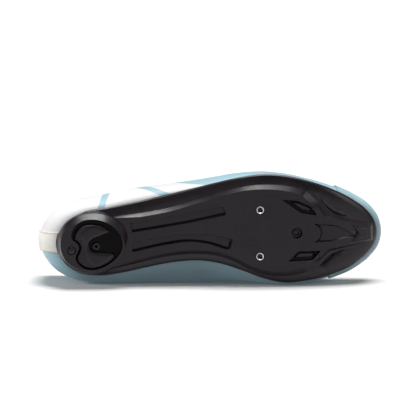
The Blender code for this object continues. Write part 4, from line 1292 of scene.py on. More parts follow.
@dataclass
class Outsole:
    """The moulded plate with its heel drum, rails, channels and pockets."""

    shop: Workshop
    rail_height: float = 3.4
    cup: float = 1.5
    cup_width: float = 6.0
    drum_at: tuple[float, float] = (11.03, 8.99)
    drum_length: float = 52.4
    drum_width: float = 45.6
    drum_foot: tuple[float, float] = (0.3, 3.0)
    drum_knee: tuple[float, float] = (0.15, 2.2)
    drum_brow: tuple[float, float] = (0.6, 2.9)
    brow_height: float = 7.3
    brow_at: float = 286.0
    drum_back: float = 2.0
    bevel_rise: float = 0.8
    bevel_run: float = 0.8
    edge_round: float = 0.8
    drum_margin: float = 2.2
    spacing: float = 1.6
    nut_radius: float = 3.6
    front_radius: float = 4.3
    peg_radius: float = 3.4
    screw_radius: float = 3.3
    socket_radius: float = 2.1
    button_radius: float = 3.0
    tread_depth: float = 5.0
    peg_depth: float = 3.2
    toe_depth: float = 1.0
    nose_depth: tuple[float, float] = (2.6, 0.8)
    nose_fall: tuple[float, float] = (209.0, 235.0)
    bite_radius: float = 7.4
    channel_depth: float = 3.0
    pocket_depth: float = 3.0
    pocket_plate: float = 1.6
    crease_depth: float = 1.3
    nut_depth: float = 4.0
    pad_face: float = 3.8
    pad_back: float = 4.9
    jaw_rise: float = 4.1
    lobe_rise: float = 0.55

    PLATEAU_OUTER = (
        (26.0, -18.0), (33.4, -22.0), (44.1, -31.0), (52.3, -38.6), (59.5, -43.0), (65.0, -43.8),
        (71.8, -42.0), (76.5, -38.6), (80.0, -28.6), (83.0, -16.4), (89.8, -11.6), (98.4, -6.6),
    )
    PLATEAU_INNER = (
        (98.6, 8.8), (91.5, 12.8), (84.0, 17.2), (80.8, 26.5), (77.2, 35.6), (71.5, 39.0), (63.8, 37.4),
        (59.5, 33.0), (55.0, 26.2), (49.9, 20.9), (41.4, 19.0), (33.7, 21.4), (25.5, 26.6),
    )
    CHANNELS = (
        ((23.1, -0.6), (27.5, -2.6), (41.3, -9.5), (52.2, -16.8), (50.8, -23.8), (41.3, -18.4),
         (27.5, -11.5), (22.6, -9.2)),
        ((22.9, 17.6), (33.0, 11.1), (40.0, 8.2), (46.8, 10.1), (53.0, 15.8), (54.0, 5.9), (48.1, 1.9),
         (40.0, 1.3), (30.3, 4.6), (23.7, 7.9)),
    )
    POCKETS = (
        ((69.2, -30.1), (75.1, -18.4), (80.0, -16.1), (78.0, -24.2), (73.5, -29.4)),
        ((71.2, 25.7), (78.7, 24.7), (81.3, 16.5), (74.4, 16.7)),
    )
    CREASES = (
        ((79.6, -37.0), (82.6, -24.4), (85.2, -17.2), (91.2, -13.6), (85.6, -19.6), (82.9, -26.0)),
        ((80.8, 31.6), (84.2, 25.3), (85.8, 20.9), (93.1, 14.3), (85.0, 19.7), (83.2, 23.5)),
    )
    RAIL_RUNS = (
        # along the sole, how wide the plateau's wall is there
        (0.0, 0.8), (44.0, 0.8), (66.0, 2.3), (150.0, 2.5), (185.0, 3.4), (199.0, 3.8), (204.0, 4.8),
        (209.0, 4.2), (214.0, 1.3), (262.0, 1.1),
    )
    NOSE = ((84.6, 7.8), (88.1, 5.6), (91.2, 4.4), (92.6, 3.8), (89.3, -1.9), (86.7, -6.0), (83.9, -7.3))
    NOSE_BITE = (78.5, 0.3)
    TOE_TREAD = ((91.6, 8.4), (97.0, 6.2), (96.9, -3.6), (91.4, -6.4), (93.4, 0.3))
    TREAD_RIM = (
        # the heel pad's outline in own millimetres, from its notch beside the peg
        (12.0, 4.6), (10.6, 3.0), (10.8, -1.1), (13.0, -5.8), (16.1, -9.1), (20.3, -11.2), (25.5, -12.0),
        (30.7, -11.8), (36.0, -10.6), (40.2, -8.7), (44.5, -5.6), (48.3, -1.8), (50.7, 2.5), (51.6, 6.8),
        (51.4, 11.1), (50.0, 14.8), (47.4, 18.3), (43.6, 21.8), (38.8, 25.0), (33.6, 27.3), (28.0, 28.4),
        (23.2, 28.0), (19.0, 26.2), (15.9, 23.4), (14.3, 20.8), (14.0, 18.2), (14.9, 15.6), (16.2, 13.0),
        (16.7, 10.6), (16.0, 8.2), (14.4, 6.3),
    )
    PEG = (-70.0, 21.0)
    SCREW = (6.5, 7.0)
    JAWS = (
        # the pad's raised part: over the top, into the notch round the screw, out, home by the bottom
        (12.4, 4.0), (13.5, -1.1), (15.6, -4.4), (18.4, -7.0), (21.8, -8.2), (25.5, -8.6), (30.3, -8.2),
        (35.0, -7.1), (38.8, -5.2), (43.0, -2.1), (40.2, -0.9), (36.4, 0.5), (32.7, 2.1), (29.8, 3.1),
        (27.4, 4.2), (25.8, 5.9), (25.2, 8.8), (25.9, 11.6), (27.9, 13.1), (31.7, 13.8), (37.4, 14.4),
        (42.2, 14.9), (44.6, 15.7), (46.2, 17.4), (43.2, 21.2), (38.4, 24.3), (33.4, 26.6), (28.0, 27.6),
        (23.4, 27.3), (19.4, 25.5), (16.6, 22.9), (15.1, 20.5), (14.9, 18.4), (15.7, 15.9), (17.0, 13.2),
        (17.6, 10.5), (16.8, 7.8), (15.0, 5.8),
    )
    LOBES = (
        # the pad's thicker middle
        (24.1, -6.2), (30.3, -6.7), (36.4, -4.9), (40.6, -2.6), (36.4, -0.7), (31.7, 1.2), (27.9, 2.7), (24.6, 5.1),
        (23.4, 8.9), (24.4, 12.7), (29.8, 14.7), (37.4, 15.6), (43.1, 16.8), (40.3, 20.4), (35.1, 23.7),
        (28.9, 24.9), (24.6, 21.6), (22.5, 15.8), (21.8, 10.4), (20.1, 5.6), (18.2, 1.3), (20.0, -3.0),
    )

    def drum_point(self, share: Sequence) -> np.ndarray:
        """A point from shares of the drum's half length and half width, in percent."""
        half = np.array([self.drum_length, self.drum_width]) / 2
        return np.asarray(share, float) / 100 * half + self.shop.last.share(self.drum_at)

    def drum_loop(self, grow: float, brow: float, count: int) -> np.ndarray:
        """The drum's outline, grown by one distance, and by another where it slopes at its outer front.

        Args:
            grow: how far it is grown, or shrunk below zero.
            brow: how far it is grown at the outer front.
            count: how many points it gets.

        Returns:
            The points of the loop.
        """
        turn = np.linspace(0, 2 * math.pi, count, endpoint=False)
        near = smooth((np.cos(turn - math.radians(self.brow_at)) - 0.1) / 0.6)
        back = self.drum_back * smooth((-np.cos(turn) - 0.2) / 0.8)
        size = np.array([self.drum_length, self.drum_width]) / 2 + (grow + (brow - grow) * near + back)[:, None]
        return np.stack([np.cos(turn), np.sin(turn)], axis=1) * size + self.shop.last.share(self.drum_at)

    def rim(self, inwards: float = 0.0) -> np.ndarray:
        """The sole's outline.

        Args:
            inwards: how far it is moved in.

        Returns:
            The points of the outline.
        """
        last = self.shop.last
        count = int(last.round_length() / self.spacing)
        return last.edge(np.linspace(0, last.round_length(), count, endpoint=False), inwards)[0]

    def plateau(self) -> np.ndarray:
        """The plateau and the foot of the heel drum as one outline.

        Returns:
            The points of the outline.
        """
        last = self.shop.last
        outer, inner = last.share(self.PLATEAU_OUTER), last.share(self.PLATEAU_INNER)
        heel = self.drum_loop(self.drum_margin, self.drum_foot[1], 120)
        centre = last.share(self.drum_at)
        turn = np.degrees(np.arctan2(heel[:, 1] - centre[1], heel[:, 0] - centre[0])) % 360
        runs = (outer[:8], outer[7:10], outer[9:], inner[:3], inner[2:5], inner[4:])
        rails = np.concatenate([run_through(run, self.spacing)[k in (1, 2, 4, 5):] for k, run in enumerate(runs)])
        return filled(np.concatenate([rails, heel[(turn > 52) & (turn < 308)]]), self.spacing)

    def tread_loop(self, shrink: float) -> np.ndarray:
        """Rim of the heel tread, moved in by a clearance."""
        return inset(loop_through(np.array(self.TREAD_RIM), self.spacing), shrink)

    def toe_loop(self, shrink: float) -> np.ndarray:
        """Rim of the toe tread, moved in by a clearance."""
        return cornered(inset(self.shop.last.share(self.TOE_TREAD), shrink), self.spacing, 0.6)

    def nose_loop(self) -> np.ndarray:
        """The nose's centre channel, whose back end is a round bite.

        Returns:
            The points of the loop.
        """
        last = self.shop.last
        turn = np.radians(np.linspace(-75, 75, 15))
        bite = last.share(self.NOSE_BITE) + self.bite_radius * np.stack([np.cos(turn), np.sin(turn)], axis=1)
        rest = last.share(self.NOSE)
        sides = [np.linspace(a, b, 6)[:-1] for a, b in zip([bite[-1], *rest], [*rest, bite[0]])]
        return np.concatenate([bite[:-1], *sides])

    def nuts(self) -> list[tuple[np.ndarray, float]]:
        """Each cleat nut's centre and the radius of its pocket.

        Returns:
            One pair for each nut.
        """
        seat = Seat()
        half = seat.nut_spread / 2
        return [(np.array([seat.nut_x, -half]), self.nut_radius), (np.array([seat.nut_x, half]), self.nut_radius),
                (np.array([seat.nut_x + seat.nut_reach, 0.0]), self.front_radius)]

    def wing(self, plan: np.ndarray) -> np.ndarray:
        """The plate's thin wing, cupped up towards its edge.

        Args:
            plan: places in plan.

        Returns:
            One height for each place.
        """
        away = distance_to(plan, self.rim())
        cup = self.cup * np.clip(1 - away / self.cup_width, 0, 1) ** 2
        rounding = self.edge_round * np.clip(1 - away / self.edge_round, 0, 1) ** 2
        return self.shop.last.profile(plan[:, 0])[0] + self.rail_height + cup + rounding

    def bevel(self, plan: np.ndarray) -> np.ndarray:
        """How deep the plateau's edge is bevelled, which starts behind the toe."""
        return self.bevel_rise * smooth((plan[:, 0] - 200.0) / 14.0)

    def nose_rise(self, plan: np.ndarray) -> np.ndarray:
        """How deep the nose's channel is, which gets shallower towards the toe."""
        (deep, shallow), (start, end) = self.nose_depth, self.nose_fall
        return deep - (deep - shallow) * smooth((plan[:, 0] - start) / (end - start))

    def toe_back(self, plan: np.ndarray) -> np.ndarray:
        """Height of the toe tread's hidden face, which lies in its pocket."""
        return self.shop.last.profile(plan[:, 0])[0] + 0.4

    def toe_face(self, plan: np.ndarray) -> np.ndarray:
        """Height of the toe tread's worn face, which is thickest at the tip."""
        return self.toe_back(plan) - 0.7 - 1.5 * smooth((plan[:, 0] - 239.0) / 8.0)

    def in_pockets(self, points: np.ndarray, faces: Sequence) -> list[int]:
        """1 for each face that lies deep in a forefoot pocket, which takes the painted pocket shade, 0 for the rest.

        Args:
            points: the plate's points.
            faces: its faces.

        Returns:
            One number for each face.
        """
        middles = np.array([points[list(f)].mean(axis=0) for f in faces])
        depth = middles[:, 2] - self.shop.last.profile(middles[:, 0])[0]
        within = np.any([inside(middles[:, :2], self.shop.last.share(loop)) for loop in self.POCKETS], axis=0)
        deep = (depth > self.pocket_plate + 0.1) & (depth < self.pocket_depth + 0.2)
        return (deep & within).astype(int).tolist()

    def steps(self) -> list[Step]:
        """Every level change of the underside, in the order of moulding.

        Returns:
            The level changes.
        """
        last, plateau = self.shop.last, self.plateau()
        shoulder = inset(plateau, np.interp(plateau[:, 0], *np.array(self.RAIL_RUNS).T))
        foot, knee = (self.drum_loop(*grown, 110) for grown in (self.drum_foot, self.drum_knee))
        made = [
            Flank(plateau, 0.0, lambda plan: last.profile(plan[:, 0])[0] + self.bevel(plan) - self.wing(plan), 0.3,
                  shoulder),
            Flank(shoulder, 0.0, lambda plan: -self.bevel(plan), 0.1, inset(shoulder, self.bevel_run)),
            Flank(foot, 0.0, lambda plan: self.brow_height - last.profile(plan[:, 0])[0], 0.2, knee),
            Flank(knee, 0.0, -self.brow_height, 0.3,
                  self.drum_loop(-self.drum_brow[0], -self.drum_brow[1], 110)),
            Step(self.tread_loop(0.0), 0.4, self.tread_depth, 0.15),
            Step(circle(self.drum_point(self.PEG), self.peg_radius, 26), 0.2, self.peg_depth, 0.12),
            Step(self.toe_loop(0.0), 0.25, self.toe_depth, 0.1),
            Flank(self.nose_loop(), 0.0, self.nose_rise, 0.15, skewed(self.nose_loop(), 0.5, 1.3, (-1.0, 0.0))),
        ]
        for loop in self.CHANNELS:
            floor = skewed(last.share(loop), 0.4, 1.9, (0.25, 0.97))
            made.append(Flank(cornered(last.share(loop), self.spacing, 0.5, 20.0), 0.0, self.channel_depth, 0.12,
                              cornered(floor, self.spacing, 0.4, 20.0)))
        for loop in self.POCKETS:
            plate = skewed(last.share(loop), 1.3, 2.5, (-0.3, 0.95))
            made.append(Step(cornered(last.share(loop), self.spacing, 0.4, 20.0), 0.5, self.pocket_depth, 0.12))
            made.append(Step(cornered(plate, self.spacing, 0.3, 20.0), 0.4, -self.pocket_plate, 0.12))
        made += [Step(cornered(last.share(loop), self.spacing, 0.3), 1.0, self.crease_depth, 0.3)
                 for loop in self.CREASES]
        made += [Step(circle(centre, radius, 32), 0.2, self.nut_depth, 0.12) for centre, radius in self.nuts()]
        return made

    def build(self) -> None:
        """Makes the plate, both treads and the fasteners' finishes."""
        last, shop = self.shop.last, self.shop
        plate = Moulding(self.rim(), self.steps(), self.wing, lambda plan: last.profile(plan[:, 0])[1], 3.2)
        points, faces = plate.build()
        # Faces deep in the forefoot pockets take the darker nylon: painted shade in the pockets
        piece = shop.piece("sole_plate", points, faces, [NYLON, POCKET_SHADE_NYLON],
                           pick=self.in_pockets(points, faces), sharp=28)
        shop.settle(piece, "plate", "outsole")
        self.build_treads()
        self.marks()
        fasteners = {"cleat_nut_outer": ZINC, "cleat_nut_inner": ZINC, "cleat_nut_front": BLACK_STEEL,
                     "heel_screw": BLACK_STEEL}
        for node, finish in fasteners.items():
            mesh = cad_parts[node].data
            mesh.materials.clear()
            mesh.materials.append(finish.material())
            # The screws' sockets take the near-black steel: painted shade in the sockets
            if finish is BLACK_STEEL:
                mesh.materials.append(SOCKET_SHADE_STEEL.material())
                mesh.polygons.foreach_set("material_index", self.in_socket(mesh))

    def in_socket(self, mesh: bpy.types.Mesh) -> list[int]:
        """1 for each face down in a screw's socket, which takes the painted socket shade, 0 for the rest.

        Args:
            mesh: the screw's mesh.

        Returns:
            One number for each face.
        """
        home = self.shop.seat.inverted()
        points = np.array([home @ v.co for v in mesh.vertices])
        middles = np.array([points[list(f.vertices)].mean(axis=0) for f in mesh.polygons])
        axis = (points[:, :2].min(axis=0) + points[:, :2].max(axis=0)) / 2
        low, high = points[:, 2].min(), points[:, 2].max()
        near = np.linalg.norm(middles[:, :2] - axis, axis=1) < self.socket_radius
        return (near & (middles[:, 2] > low + 0.3) & (middles[:, 2] < high - 0.05)).astype(int).tolist()

    def dome(self, name: str, centre: np.ndarray, radius: float) -> bpy.types.Object:
        """A round button with a crowned face.

        Args:
            name: the piece's name.
            centre: its middle in plan.
            radius: its radius at the foot.

        Returns:
            The object.
        """
        rings = ((1.0, 2.4), (1.0, 0.2), (0.93, -0.5), (0.74, -1.0), (0.48, -1.3), (0.2, -1.42))
        sides = 28
        points = np.concatenate([
            np.column_stack([circle(centre, radius * share, sides), np.full(sides, z)]) for share, z in rings])
        faces = [*grid_faces(len(rings), sides, wrap_columns=True), tuple(range(sides))[::-1]]
        last = (len(rings) - 1) * sides
        faces.append(tuple(range(last, last + sides)))
        return self.shop.piece(name, points, [f[::-1] for f in faces], [RUBBER], sharp=50)

    def marks(self) -> None:
        """Plain setting-out ticks round the cleat nuts and across the middle."""
        last, shop = self.shop.last, self.shop
        flat = shop.seat.to_euler()
        long = [(x, y) for x in np.arange(142.7, 160.0, 2.4) for y in (-4.6, 8.2)]
        short = [(x, y) for x in np.arange(165.0, 183.0, 2.9) for y in (-30.2, 27.8)]
        short += [(x, 1.8) for x in np.arange(141.5, 160.0, 2.4)]
        for name, spots, size in (("centre_ticks", long, (0.5, 6.4, 0.5)), ("side_ticks", short, (0.6, 1.7, 0.5))):
            plan = np.array(spots)
            points = np.column_stack([plan, last.profile(plan[:, 0])[0] - 0.1])
            Marks(size).set_out(shop, name, points, flat, NYLON, "plate")

    def build_treads(self) -> None:
        """The rubber pads under the heel and the toe."""
        shop = self.shop
        steps = [Step(cornered(np.array(self.JAWS), 1.2, 0.4), 0.9, -self.jaw_rise, 0.2),
                 Step(cornered(np.array(self.LOBES), 1.2, 0.4), 1.4, -self.lobe_rise, 0.2),
                 Step(circle(self.drum_point(self.SCREW), self.screw_radius, 26), 0.3, 1.0, 0.1)]
        heel = Moulding(self.tread_loop(0.3), steps, lambda plan: np.full(len(plan), self.pad_face),
                        lambda plan: np.full(len(plan), self.pad_back), 1.6, 0.0)
        points, faces = heel.build()
        # The pad's faces that are not raised take the darker rubber: painted shade in the recesses round the jaws and
        # in the screw's recess
        low = [int(min(points[i][2] for i in f) > self.pad_face - 0.6) for f in faces]
        pad = shop.piece("heel_pad", points, faces, [RUBBER, RECESS_SHADE_RUBBER], pick=low, sharp=30)
        shop.settle(pad, "tread", "heel_tread")
        shop.settle(self.dome("heel_button", self.drum_point(self.PEG), self.button_radius), "tread", "heel_peg")
        toe = Moulding(self.toe_loop(0.12), [Step(self.toe_loop(1.0), 0.5, -0.25, 0.15)], self.toe_face, self.toe_back,
                       1.5, 0.0)
        points, faces = toe.build()
        shop.settle(shop.piece("toe_pad", points, faces, [RUBBER], sharp=30), "tread", "toe_tread")


# Pieces of the upper


@dataclass
class Upper:
    """The hollow microfibre upper with its cap, heel strip, tongue, straps and footbed."""

    shop: Workshop
    columns: int = 264
    levels: int = 44
    cap_rows: tuple[float, float] = (12.1, 20.0)
    cap_reach: float = 0.52
    cap_fall: float = 0.3
    cap_thickness: float = 1.3
    strip_width: float = 14.6
    strip_top: float = 0.9
    tongue_thickness: float = 2.6

    FOLDS = (
        # where across the vamp, depth, half width
        (178.0, 0.35, 1.8), (185.5, 0.5, 2.2), (193.0, 0.4, 1.9), (199.5, 0.2, 1.5),
    )
    STRAPS = (
        # name, outer rim, outer end, inner rim, inner end, width, outer level, inner level
        ("strap_upper", 8.15, 7.3, 23.95, 24.75, 26.0, 0.60, 0.66),
        ("strap_lower", 9.9, 9.0, 22.1, 22.9, 21.0, 0.60, 0.64),
    )

    def finish(self) -> Microfibre:
        """The upper's own finish, with its bands laid out along the edge.

        Returns:
            The finish.
        """
        rear, fore, bend, front = (float(self.shop.last.place(row)) * MM for row in (2.7, 4.9, 5.2, 6.7))
        bands = Bands(0.004, front, (front - bend) / 0.33, (
            # middle, lean, half width, low, high
            (rear, 0.030, 0.0030, 0.0, 0.55),
            (fore, -0.060, 0.0040, 0.0, 0.55),
        ))
        # Coated microfibre: satin with a fine leather grain, printed in two colours
        return Microfibre("coated microfibre", "#9dbfcb", 0.44, grain=0.9, relief=0.03, coat=0.08,
                          pale="#e2e2e3", bands=bands)

    def shell(self) -> None:
        """The upper itself: outer face, rolled rim, lining and the edge that the sole closes."""
        last, shop = self.shop.last, self.shop
        turn = last.round_length()
        places = np.linspace(0, turn, self.columns, endpoint=False)
        low = np.linspace(0, last.widest, 13)[:-1]
        levels = np.concatenate([low, np.linspace(last.widest, 1, self.levels - 12)])
        t, place = (a.ravel() for a in np.meshgrid(levels, places, indexing="ij"))
        outer = last.off_skin(place, t, 0.0)
        outer = last.off_skin(place, t, -self.creases(outer))
        wall = last.wall_at(place, t)
        inner = last.off_skin(place, t, -wall)
        n = len(places)
        rising = last.skin(places, np.full(n, 1.0)) - last.skin(places, np.full(n, 0.99))
        rising /= np.linalg.norm(rising, axis=1)[:, None]
        middle, arm = (outer[-n:] + inner[-n:]) / 2, (outer[-n:] - inner[-n:]) / 2
        radius = np.linalg.norm(arm, axis=1)[:, None]
        roll = [middle + arm * math.cos(a) + rising * radius * math.sin(a) * 0.8
                for a in np.linspace(0, math.pi, 8)[1:-1]]
        points = np.concatenate([outer, *roll, inner.reshape(len(levels), n, 3)[::-1].reshape(-1, 3)])
        rows = 2 * len(levels) + len(roll)
        faces = grid_faces(rows, n, wrap_rows=True, wrap_columns=True)
        pick = [0 if r < len(levels) + 3 else 1 for r in range(rows) for _ in range(n)]
        v = np.concatenate([levels, np.linspace(1, 1.03, len(roll)), 1.05 + np.linspace(0, 0.15, len(levels))])
        uv = np.stack([np.tile(places * MM, rows), np.repeat(v, n)], axis=1)
        piece = shop.piece("upper_shell", points, faces, [self.finish(), LINING], uv, pick, sharp=60)
        shop.settle(piece, "upper", "upper")

    def creases(self, points: np.ndarray) -> np.ndarray:
        """Depth of the soft folds that flexing leaves across the vamp, in front of the throat.

        Args:
            points: points on the skin.

        Returns:
            One depth for each point.
        """
        deep = np.zeros(len(points))
        fade = smooth((points[:, 2] - 36.0) / 16.0)
        for at, depth, width in self.FOLDS:
            line = at - 0.006 * (points[:, 1] - 2.0) ** 2
            deep += depth * fade * np.exp(-(((points[:, 0] - line) / width) ** 2))
        return deep

    def holes(self) -> None:
        """The pinholes low on the inner side, where air gets in, drawn as thin dark discs of black rubber: painted
        shade in place of the holes.
        """
        last, shop = self.shop.last, self.shop
        place, t = last.place(np.array([25.95, 26.45, 26.95])), np.full(3, 0.2)
        points = last.off_skin(place, t, 0.0)
        turned = shop.seat.to_3x3().normalized() @ Vector(last.normal(place, t).mean(axis=0))
        # Thin dark rubber discs on the uncut skin stand for the holes: painted shade
        Marks((1.0, 1.0, 0.16), 14).set_out(shop, "side_hole_shade", points, turned.to_track_quat("Z", "Y").to_euler(),
                                           RUBBER, "upper")

    def lay(self, place: np.ndarray, t: np.ndarray, lift: float) -> np.ndarray:
        """A grid of points over the skin at an even height."""
        return self.shop.last.off_skin(place, t, lift).reshape(*t.shape, 3)

    def cap(self) -> None:
        """The cap over the toe, with its sewn edge."""
        last, shop = self.shop.last, self.shop
        first, final = last.place(self.cap_rows[0]), last.place(self.cap_rows[1])
        places = np.linspace(first, final, 110)
        reach = self.cap_edge(places)
        t = np.maximum(reach[None, :] * np.linspace(0.0, 1, 26)[:, None], 0.015)
        place = np.broadcast_to(places, t.shape)
        points, faces = shop.sheet(self.lay(place, t, self.cap_thickness), self.lay(place, t, 0.05))
        piece = shop.piece("toe_guard", points, faces, [GUARD])
        shop.soften(piece, 0.45)
        shop.settle(piece, "guard", "toe_cap")
        inner = np.linspace(first + 3, final - 3, 130)
        path = last.off_skin(inner, self.cap_edge(inner) - 0.022, self.cap_thickness + 0.05)
        Stitching().sew(shop, "toe_guard_seam", [path], THREAD, "guard")

    def cap_edge(self, places: np.ndarray) -> np.ndarray:
        """How far up the skin the toe cap reaches.

        Args:
            places: places along the sole's edge.

        Returns:
            One level for each place.
        """
        first, final = self.shop.last.place(self.cap_rows[0]), self.shop.last.place(self.cap_rows[1])
        share = (places - first) / (final - first) * 2 - 1
        return self.cap_reach * (1 - self.cap_fall * np.abs(share) ** 2.4)

    def strip(self) -> None:
        """The webbing up the back of the heel, with piping down both sides."""
        last, shop = self.shop.last, self.shop
        t = np.linspace(0.012, self.strip_top, 44)
        spread = np.linalg.norm(last.skin(np.full(44, 1.0), t) - last.skin(np.full(44, -1.0), t), axis=1) / 2
        across = np.linspace(-0.5, 0.5, 13)
        place = across[None, :] * (self.strip_width / spread)[:, None]
        level = np.repeat(t[:, None], 13, axis=1)
        points, faces = shop.sheet(self.lay(place, level, 1.0), self.lay(place, level, 0.05))
        length = np.concatenate([[0], np.cumsum(np.linalg.norm(np.diff(last.skin(np.zeros(44), t), axis=0), axis=1))])
        uv = np.stack([np.tile(across * self.strip_width, 44), np.repeat(length, 13)], axis=1) * MM
        piece = shop.piece("heel_webbing", points, faces, [WEBBING], np.concatenate([uv, uv]))
        shop.soften(piece, 0.3)
        shop.settle(piece, "webbing", "heel_strip")
        for side in Side:
            edge = side.value * (0.5 * self.strip_width + 0.2) / spread
            points, faces = shop.tube(last.off_skin(edge, t, 0.7), 0.65)
            shop.settle(shop.piece(f"heel_piping_{side.name.lower()}", points, faces, [PIPING]), "webbing")

    def straps(self) -> None:
        """The two plain straps over the tongue."""
        last, shop = self.shop.last, self.shop
        for name, outer_rim, outer_end, inner_rim, inner_end, width, outer_level, inner_level in self.STRAPS:
            rows = ((outer_rim, outer_end, outer_level, 1), (inner_rim, inner_end, inner_level, -1))
            sheets = []
            for lift in (0.6, 2.3):
                halves = []
                for rim, end, level, way in rows:
                    t = np.linspace(level, 0.93, 16)
                    middle = last.place(np.linspace(end, rim, 16))
                    spread = np.linalg.norm(last.skin(middle + 1, t) - last.skin(middle - 1, t), axis=1) / 2
                    across = np.linspace(-0.5, 0.5, 11)
                    place = middle[None, :] + way * across[:, None] * (width / spread)[None, :]
                    halves.append(self.lay(place, np.broadcast_to(t, place.shape), lift))
                share = np.linspace(0, 1, 14)[1:-1]
                bridge = halves[0][:, -1:] * (1 - share)[None, :, None] + halves[1][:, -1:] * share[None, :, None]
                bridge[..., 2] += 5.0 * (4 * share * (1 - share))[None, :]
                sheets.append(self.eased(np.concatenate([halves[0], bridge, halves[1][:, ::-1]], axis=1)))
            points, faces = shop.sheet(sheets[1][::-1], sheets[0][::-1])
            piece = shop.piece(name + "_band", points, faces, [STRAP])
            shop.soften(piece, 0.5)
            shop.settle(piece, "strap", name)
            rows_at = [sheets[1][r] * 0.97 + sheets[1][5] * 0.03 for r in (1, -2)]
            Stitching().sew(shop, name + "_seams", [r + (0, 0, 0.1) for r in rows_at], PALE_THREAD, "strap")

    @staticmethod
    def eased(sheet: np.ndarray) -> np.ndarray:
        """A strap's grid with its bend along the shoe drawn out into a smooth curve.

        Args:
            sheet: the strap's grid of points.

        Returns:
            The eased grid.
        """
        made = sheet.copy()
        for _ in range(60):
            made[:, 1:-1, 0] = (made[:, :-2, 0] + made[:, 1:-1, 0] * 2 + made[:, 2:, 0]) / 4
        return made

    def tongue(self) -> None:
        """The padded tongue under the throat."""
        last, shop = self.shop.last, self.shop
        count = 11
        rows = (np.linspace(7.7, 13.2, count), np.linspace(24.3, 18.8, count))
        crown = np.linspace(1.6, -1.2, count)[:, None]
        under = np.array([0.80, 0.86, 0.92, 0.965])
        slack = np.repeat(np.interp(np.arange(count), [0, 4], [last.padding + 2.2, 0.0]), len(under))
        sheets = []
        for extra in (0.5, 0.5 + self.tongue_thickness):
            sides = []
            for side in rows:
                place, t = np.repeat(last.place(side), len(under)), np.tile(under, count)
                sides.append(last.off_skin(place, t, -last.wall - extra - slack).reshape(count, -1, 3))
            share = np.linspace(0, 1, 5)[1:-1]
            middle = sides[0][:, -1:] * (1 - share)[None, :, None] + sides[1][:, -1:] * share[None, :, None]
            middle[..., 2] += crown * (4 * share * (1 - share))[None, :]
            body = np.concatenate([sides[0], middle, sides[1][:, ::-1]], axis=1)
            centre = body[0].mean(axis=0)
            above = [centre + (body[0] - centre) * (narrow, narrow, 1.0) + np.array([-17.2, 0.0, 10.0]) * rise
                     for rise, narrow in ((1.0, 0.5), (0.72, 0.68), (0.36, 0.82))]
            sheets.append(np.concatenate([np.array(above), body]))
        points, faces = shop.sheet(sheets[0][:, ::-1], sheets[1][:, ::-1])
        grid = sheets[0].shape[:2]
        length = np.arange(grid[0])[:, None] * 9.0 + np.zeros(grid)
        across = np.arange(grid[1])[None, :] * 4.0 + np.zeros(grid)
        uv = np.stack([across, length], axis=-1).reshape(-1, 2) * MM
        piece = shop.piece("padded_tongue", points, faces, [LINING], np.concatenate([uv, uv]))
        shop.smoothed(piece, 2)
        shop.settle(piece, "tongue", "tongue")

    def footbed(self) -> None:
        """The footbed, dished a little under the heel."""
        last, shop = self.shop.last, self.shop
        count = int(last.round_length() / 3)
        rim = last.edge(np.linspace(0, last.round_length(), count, endpoint=False), 3.4)[0]
        plan, faces = triangles_between([rim], grid_in(rim, 3.0, [rim]), rim)
        around = outline_of(faces)
        count = len(plan)
        floor = last.profile(plan[:, 0])[1] + last.gap
        from_heel = np.linalg.norm((plan - last.share((13.0, 8.0))) / (34, 24), axis=1)
        top = floor + 3.0 - 1.2 * smooth(1 - from_heel)
        points = np.concatenate([np.column_stack([plan, floor]), np.column_stack([plan, top])])
        made = [tuple(f[::-1]) for f in faces.tolist()] + [tuple(i + count for i in f) for f in faces.tolist()]
        made += [(a, b, b + count, a + count) for a, b in zip(around, around[1:] + around[:1])]
        shop.settle(shop.piece("footbed", points, made, [FOOTBED]), "footbed", "insole")

    def seams(self) -> None:
        """The sewn row round the collar and the throat."""
        last = self.shop.last
        whole = np.linspace(0, last.round_length(), 420)
        row = last.off_skin(whole, np.full(len(whole), 0.955), 0.05)
        Stitching().sew(self.shop, "collar_seam", [row], THREAD, "upper")

    def build(self) -> None:
        """Makes every piece of the upper."""
        self.shell()
        self.cap()
        self.strip()
        self.tongue()
        self.straps()
        self.footbed()
        self.seams()
        self.holes()


# The studio


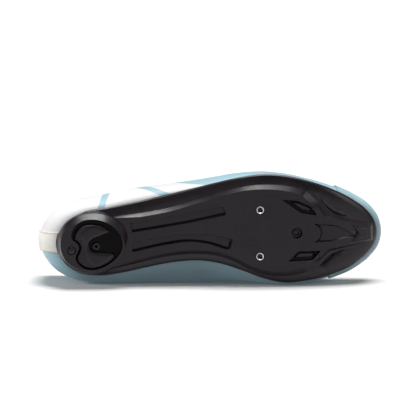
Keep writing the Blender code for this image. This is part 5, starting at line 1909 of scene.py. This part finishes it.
@dataclass(frozen=True)
class Studio:
    """Plain pale floor, soft lights and the camera at the photograph's angle to the shoe."""

    frame_px: int = 416
    px_mm: float = 0.811
    centre: tuple[float, float, float] = (123.4, -19.0, 21.4)
    to_outer: float = 5.2
    to_heel: float = 6.8
    roll: float = -0.4
    distance: float = 3350.0
    surround: float = 0.17

    LIGHTS = (
        # name, kind, strength, size in metres or degrees, place
        ("overhead", "SUN", 3.35, 36.0, (0.12, 0.18, 1.0)),
        ("fill", "AREA", 1.3, 1.5, (-0.5, -2.2, 1.0)),
        ("heel side", "AREA", 46.0, 1.0, (-2.4, -0.1, 0.5)),
        ("toe side", "AREA", 9.0, 1.0, (2.0, -1.0, 1.0)),
    )

    def camera(self, seat: Matrix) -> None:
        """Sets the camera, which looks at the sole from a little above and behind.

        Args:
            seat: where the shoe's own frame lies.
        """
        a, b = math.radians(self.to_outer), math.radians(self.to_heel)
        back = Vector((-math.sin(b), -math.sin(a), -math.cos(a) * math.cos(b))).normalized()
        turn = seat.to_3x3().normalized()
        back = (turn @ back).normalized()
        toe = turn @ Vector((1, 0, 0))
        right = (toe - back * toe.dot(back)).normalized()
        up = back.cross(right)
        c, s = math.cos(math.radians(self.roll)), math.sin(math.radians(self.roll))
        right, up = right * c + up * s, up * c - right * s
        target = seat @ Vector(self.centre)
        place = target + back * self.distance * MM
        data = bpy.data.cameras.new("camera")
        data.sensor_width = 36.0
        data.lens = 36.0 * self.distance / (self.frame_px * self.px_mm)
        data.clip_end = 50.0
        camera = placed("camera", data)
        camera.matrix_world = Matrix((
            (right.x, up.x, back.x, place.x), (right.y, up.y, back.y, place.y),
            (right.z, up.z, back.z, place.z), (0, 0, 0, 1)))
        bpy.context.scene.camera = camera
        log.info("camera at %s", tuple(round(v, 3) for v in place))

    def lights(self) -> None:
        """A broad soft light from above and a little behind the sole, a weak fill and a pale surround."""
        for name, kind, watts, size, place in self.LIGHTS:
            data = bpy.data.lights.new(name, kind)
            data.energy = watts
            if kind == "SUN":
                data.angle = math.radians(size)
            else:
                data.size = size
            light = placed(name, data)
            light.location = place
            light.rotation_euler = Vector(place).to_track_quat("Z", "Y").to_euler()
            # The light from the heel's side only fills, so that no edge of the sole mirrors it
            light.visible_glossy = name != "heel side"
        world = bpy.data.worlds.new("studio")
        world.use_nodes = True
        world.node_tree.nodes["Background"].inputs[0].default_value = (1, 1, 1, 1)
        world.node_tree.nodes["Background"].inputs[1].default_value = self.surround
        bpy.context.scene.world = world
        bpy.context.scene.view_settings.view_transform = "Standard"

    def floor(self) -> None:
        """A wide pale floor."""
        mesh = bpy.data.meshes.new("floor")
        half = 6.0
        mesh.from_pydata([(-half, -half, 0), (half, -half, 0), (half, half, 0), (-half, half, 0)], [], [(0, 1, 2, 3)])
        # Matt white paint on board: no gloss, a faint unevenness
        mesh.materials.append(Board("matt white board", "#eeeeee", 0.95, grain=400.0).material())
        floor = placed("floor", mesh)
        # The floor takes the shadow, but throws no light up at the shoe's shaded side
        floor.visible_diffuse = False

    def build(self, seat: Matrix) -> None:
        """Makes the whole studio.

        Args:
            seat: where the shoe's own frame lies.
        """
        self.camera(seat)
        self.lights()
        self.floor()


def main() -> None:
    """Builds every piece in order, then the studio."""
    logging.basicConfig(level=logging.INFO, format="%(name)s: %(message)s")
    seat = Seat().matrix()
    shop = Workshop(Last(), seat)
    Outsole(shop).build()
    Upper(shop).build()
    Studio().build(seat)
    log.info("%d pieces made", len(shop.made))


if __name__ == "__main__":
    main()
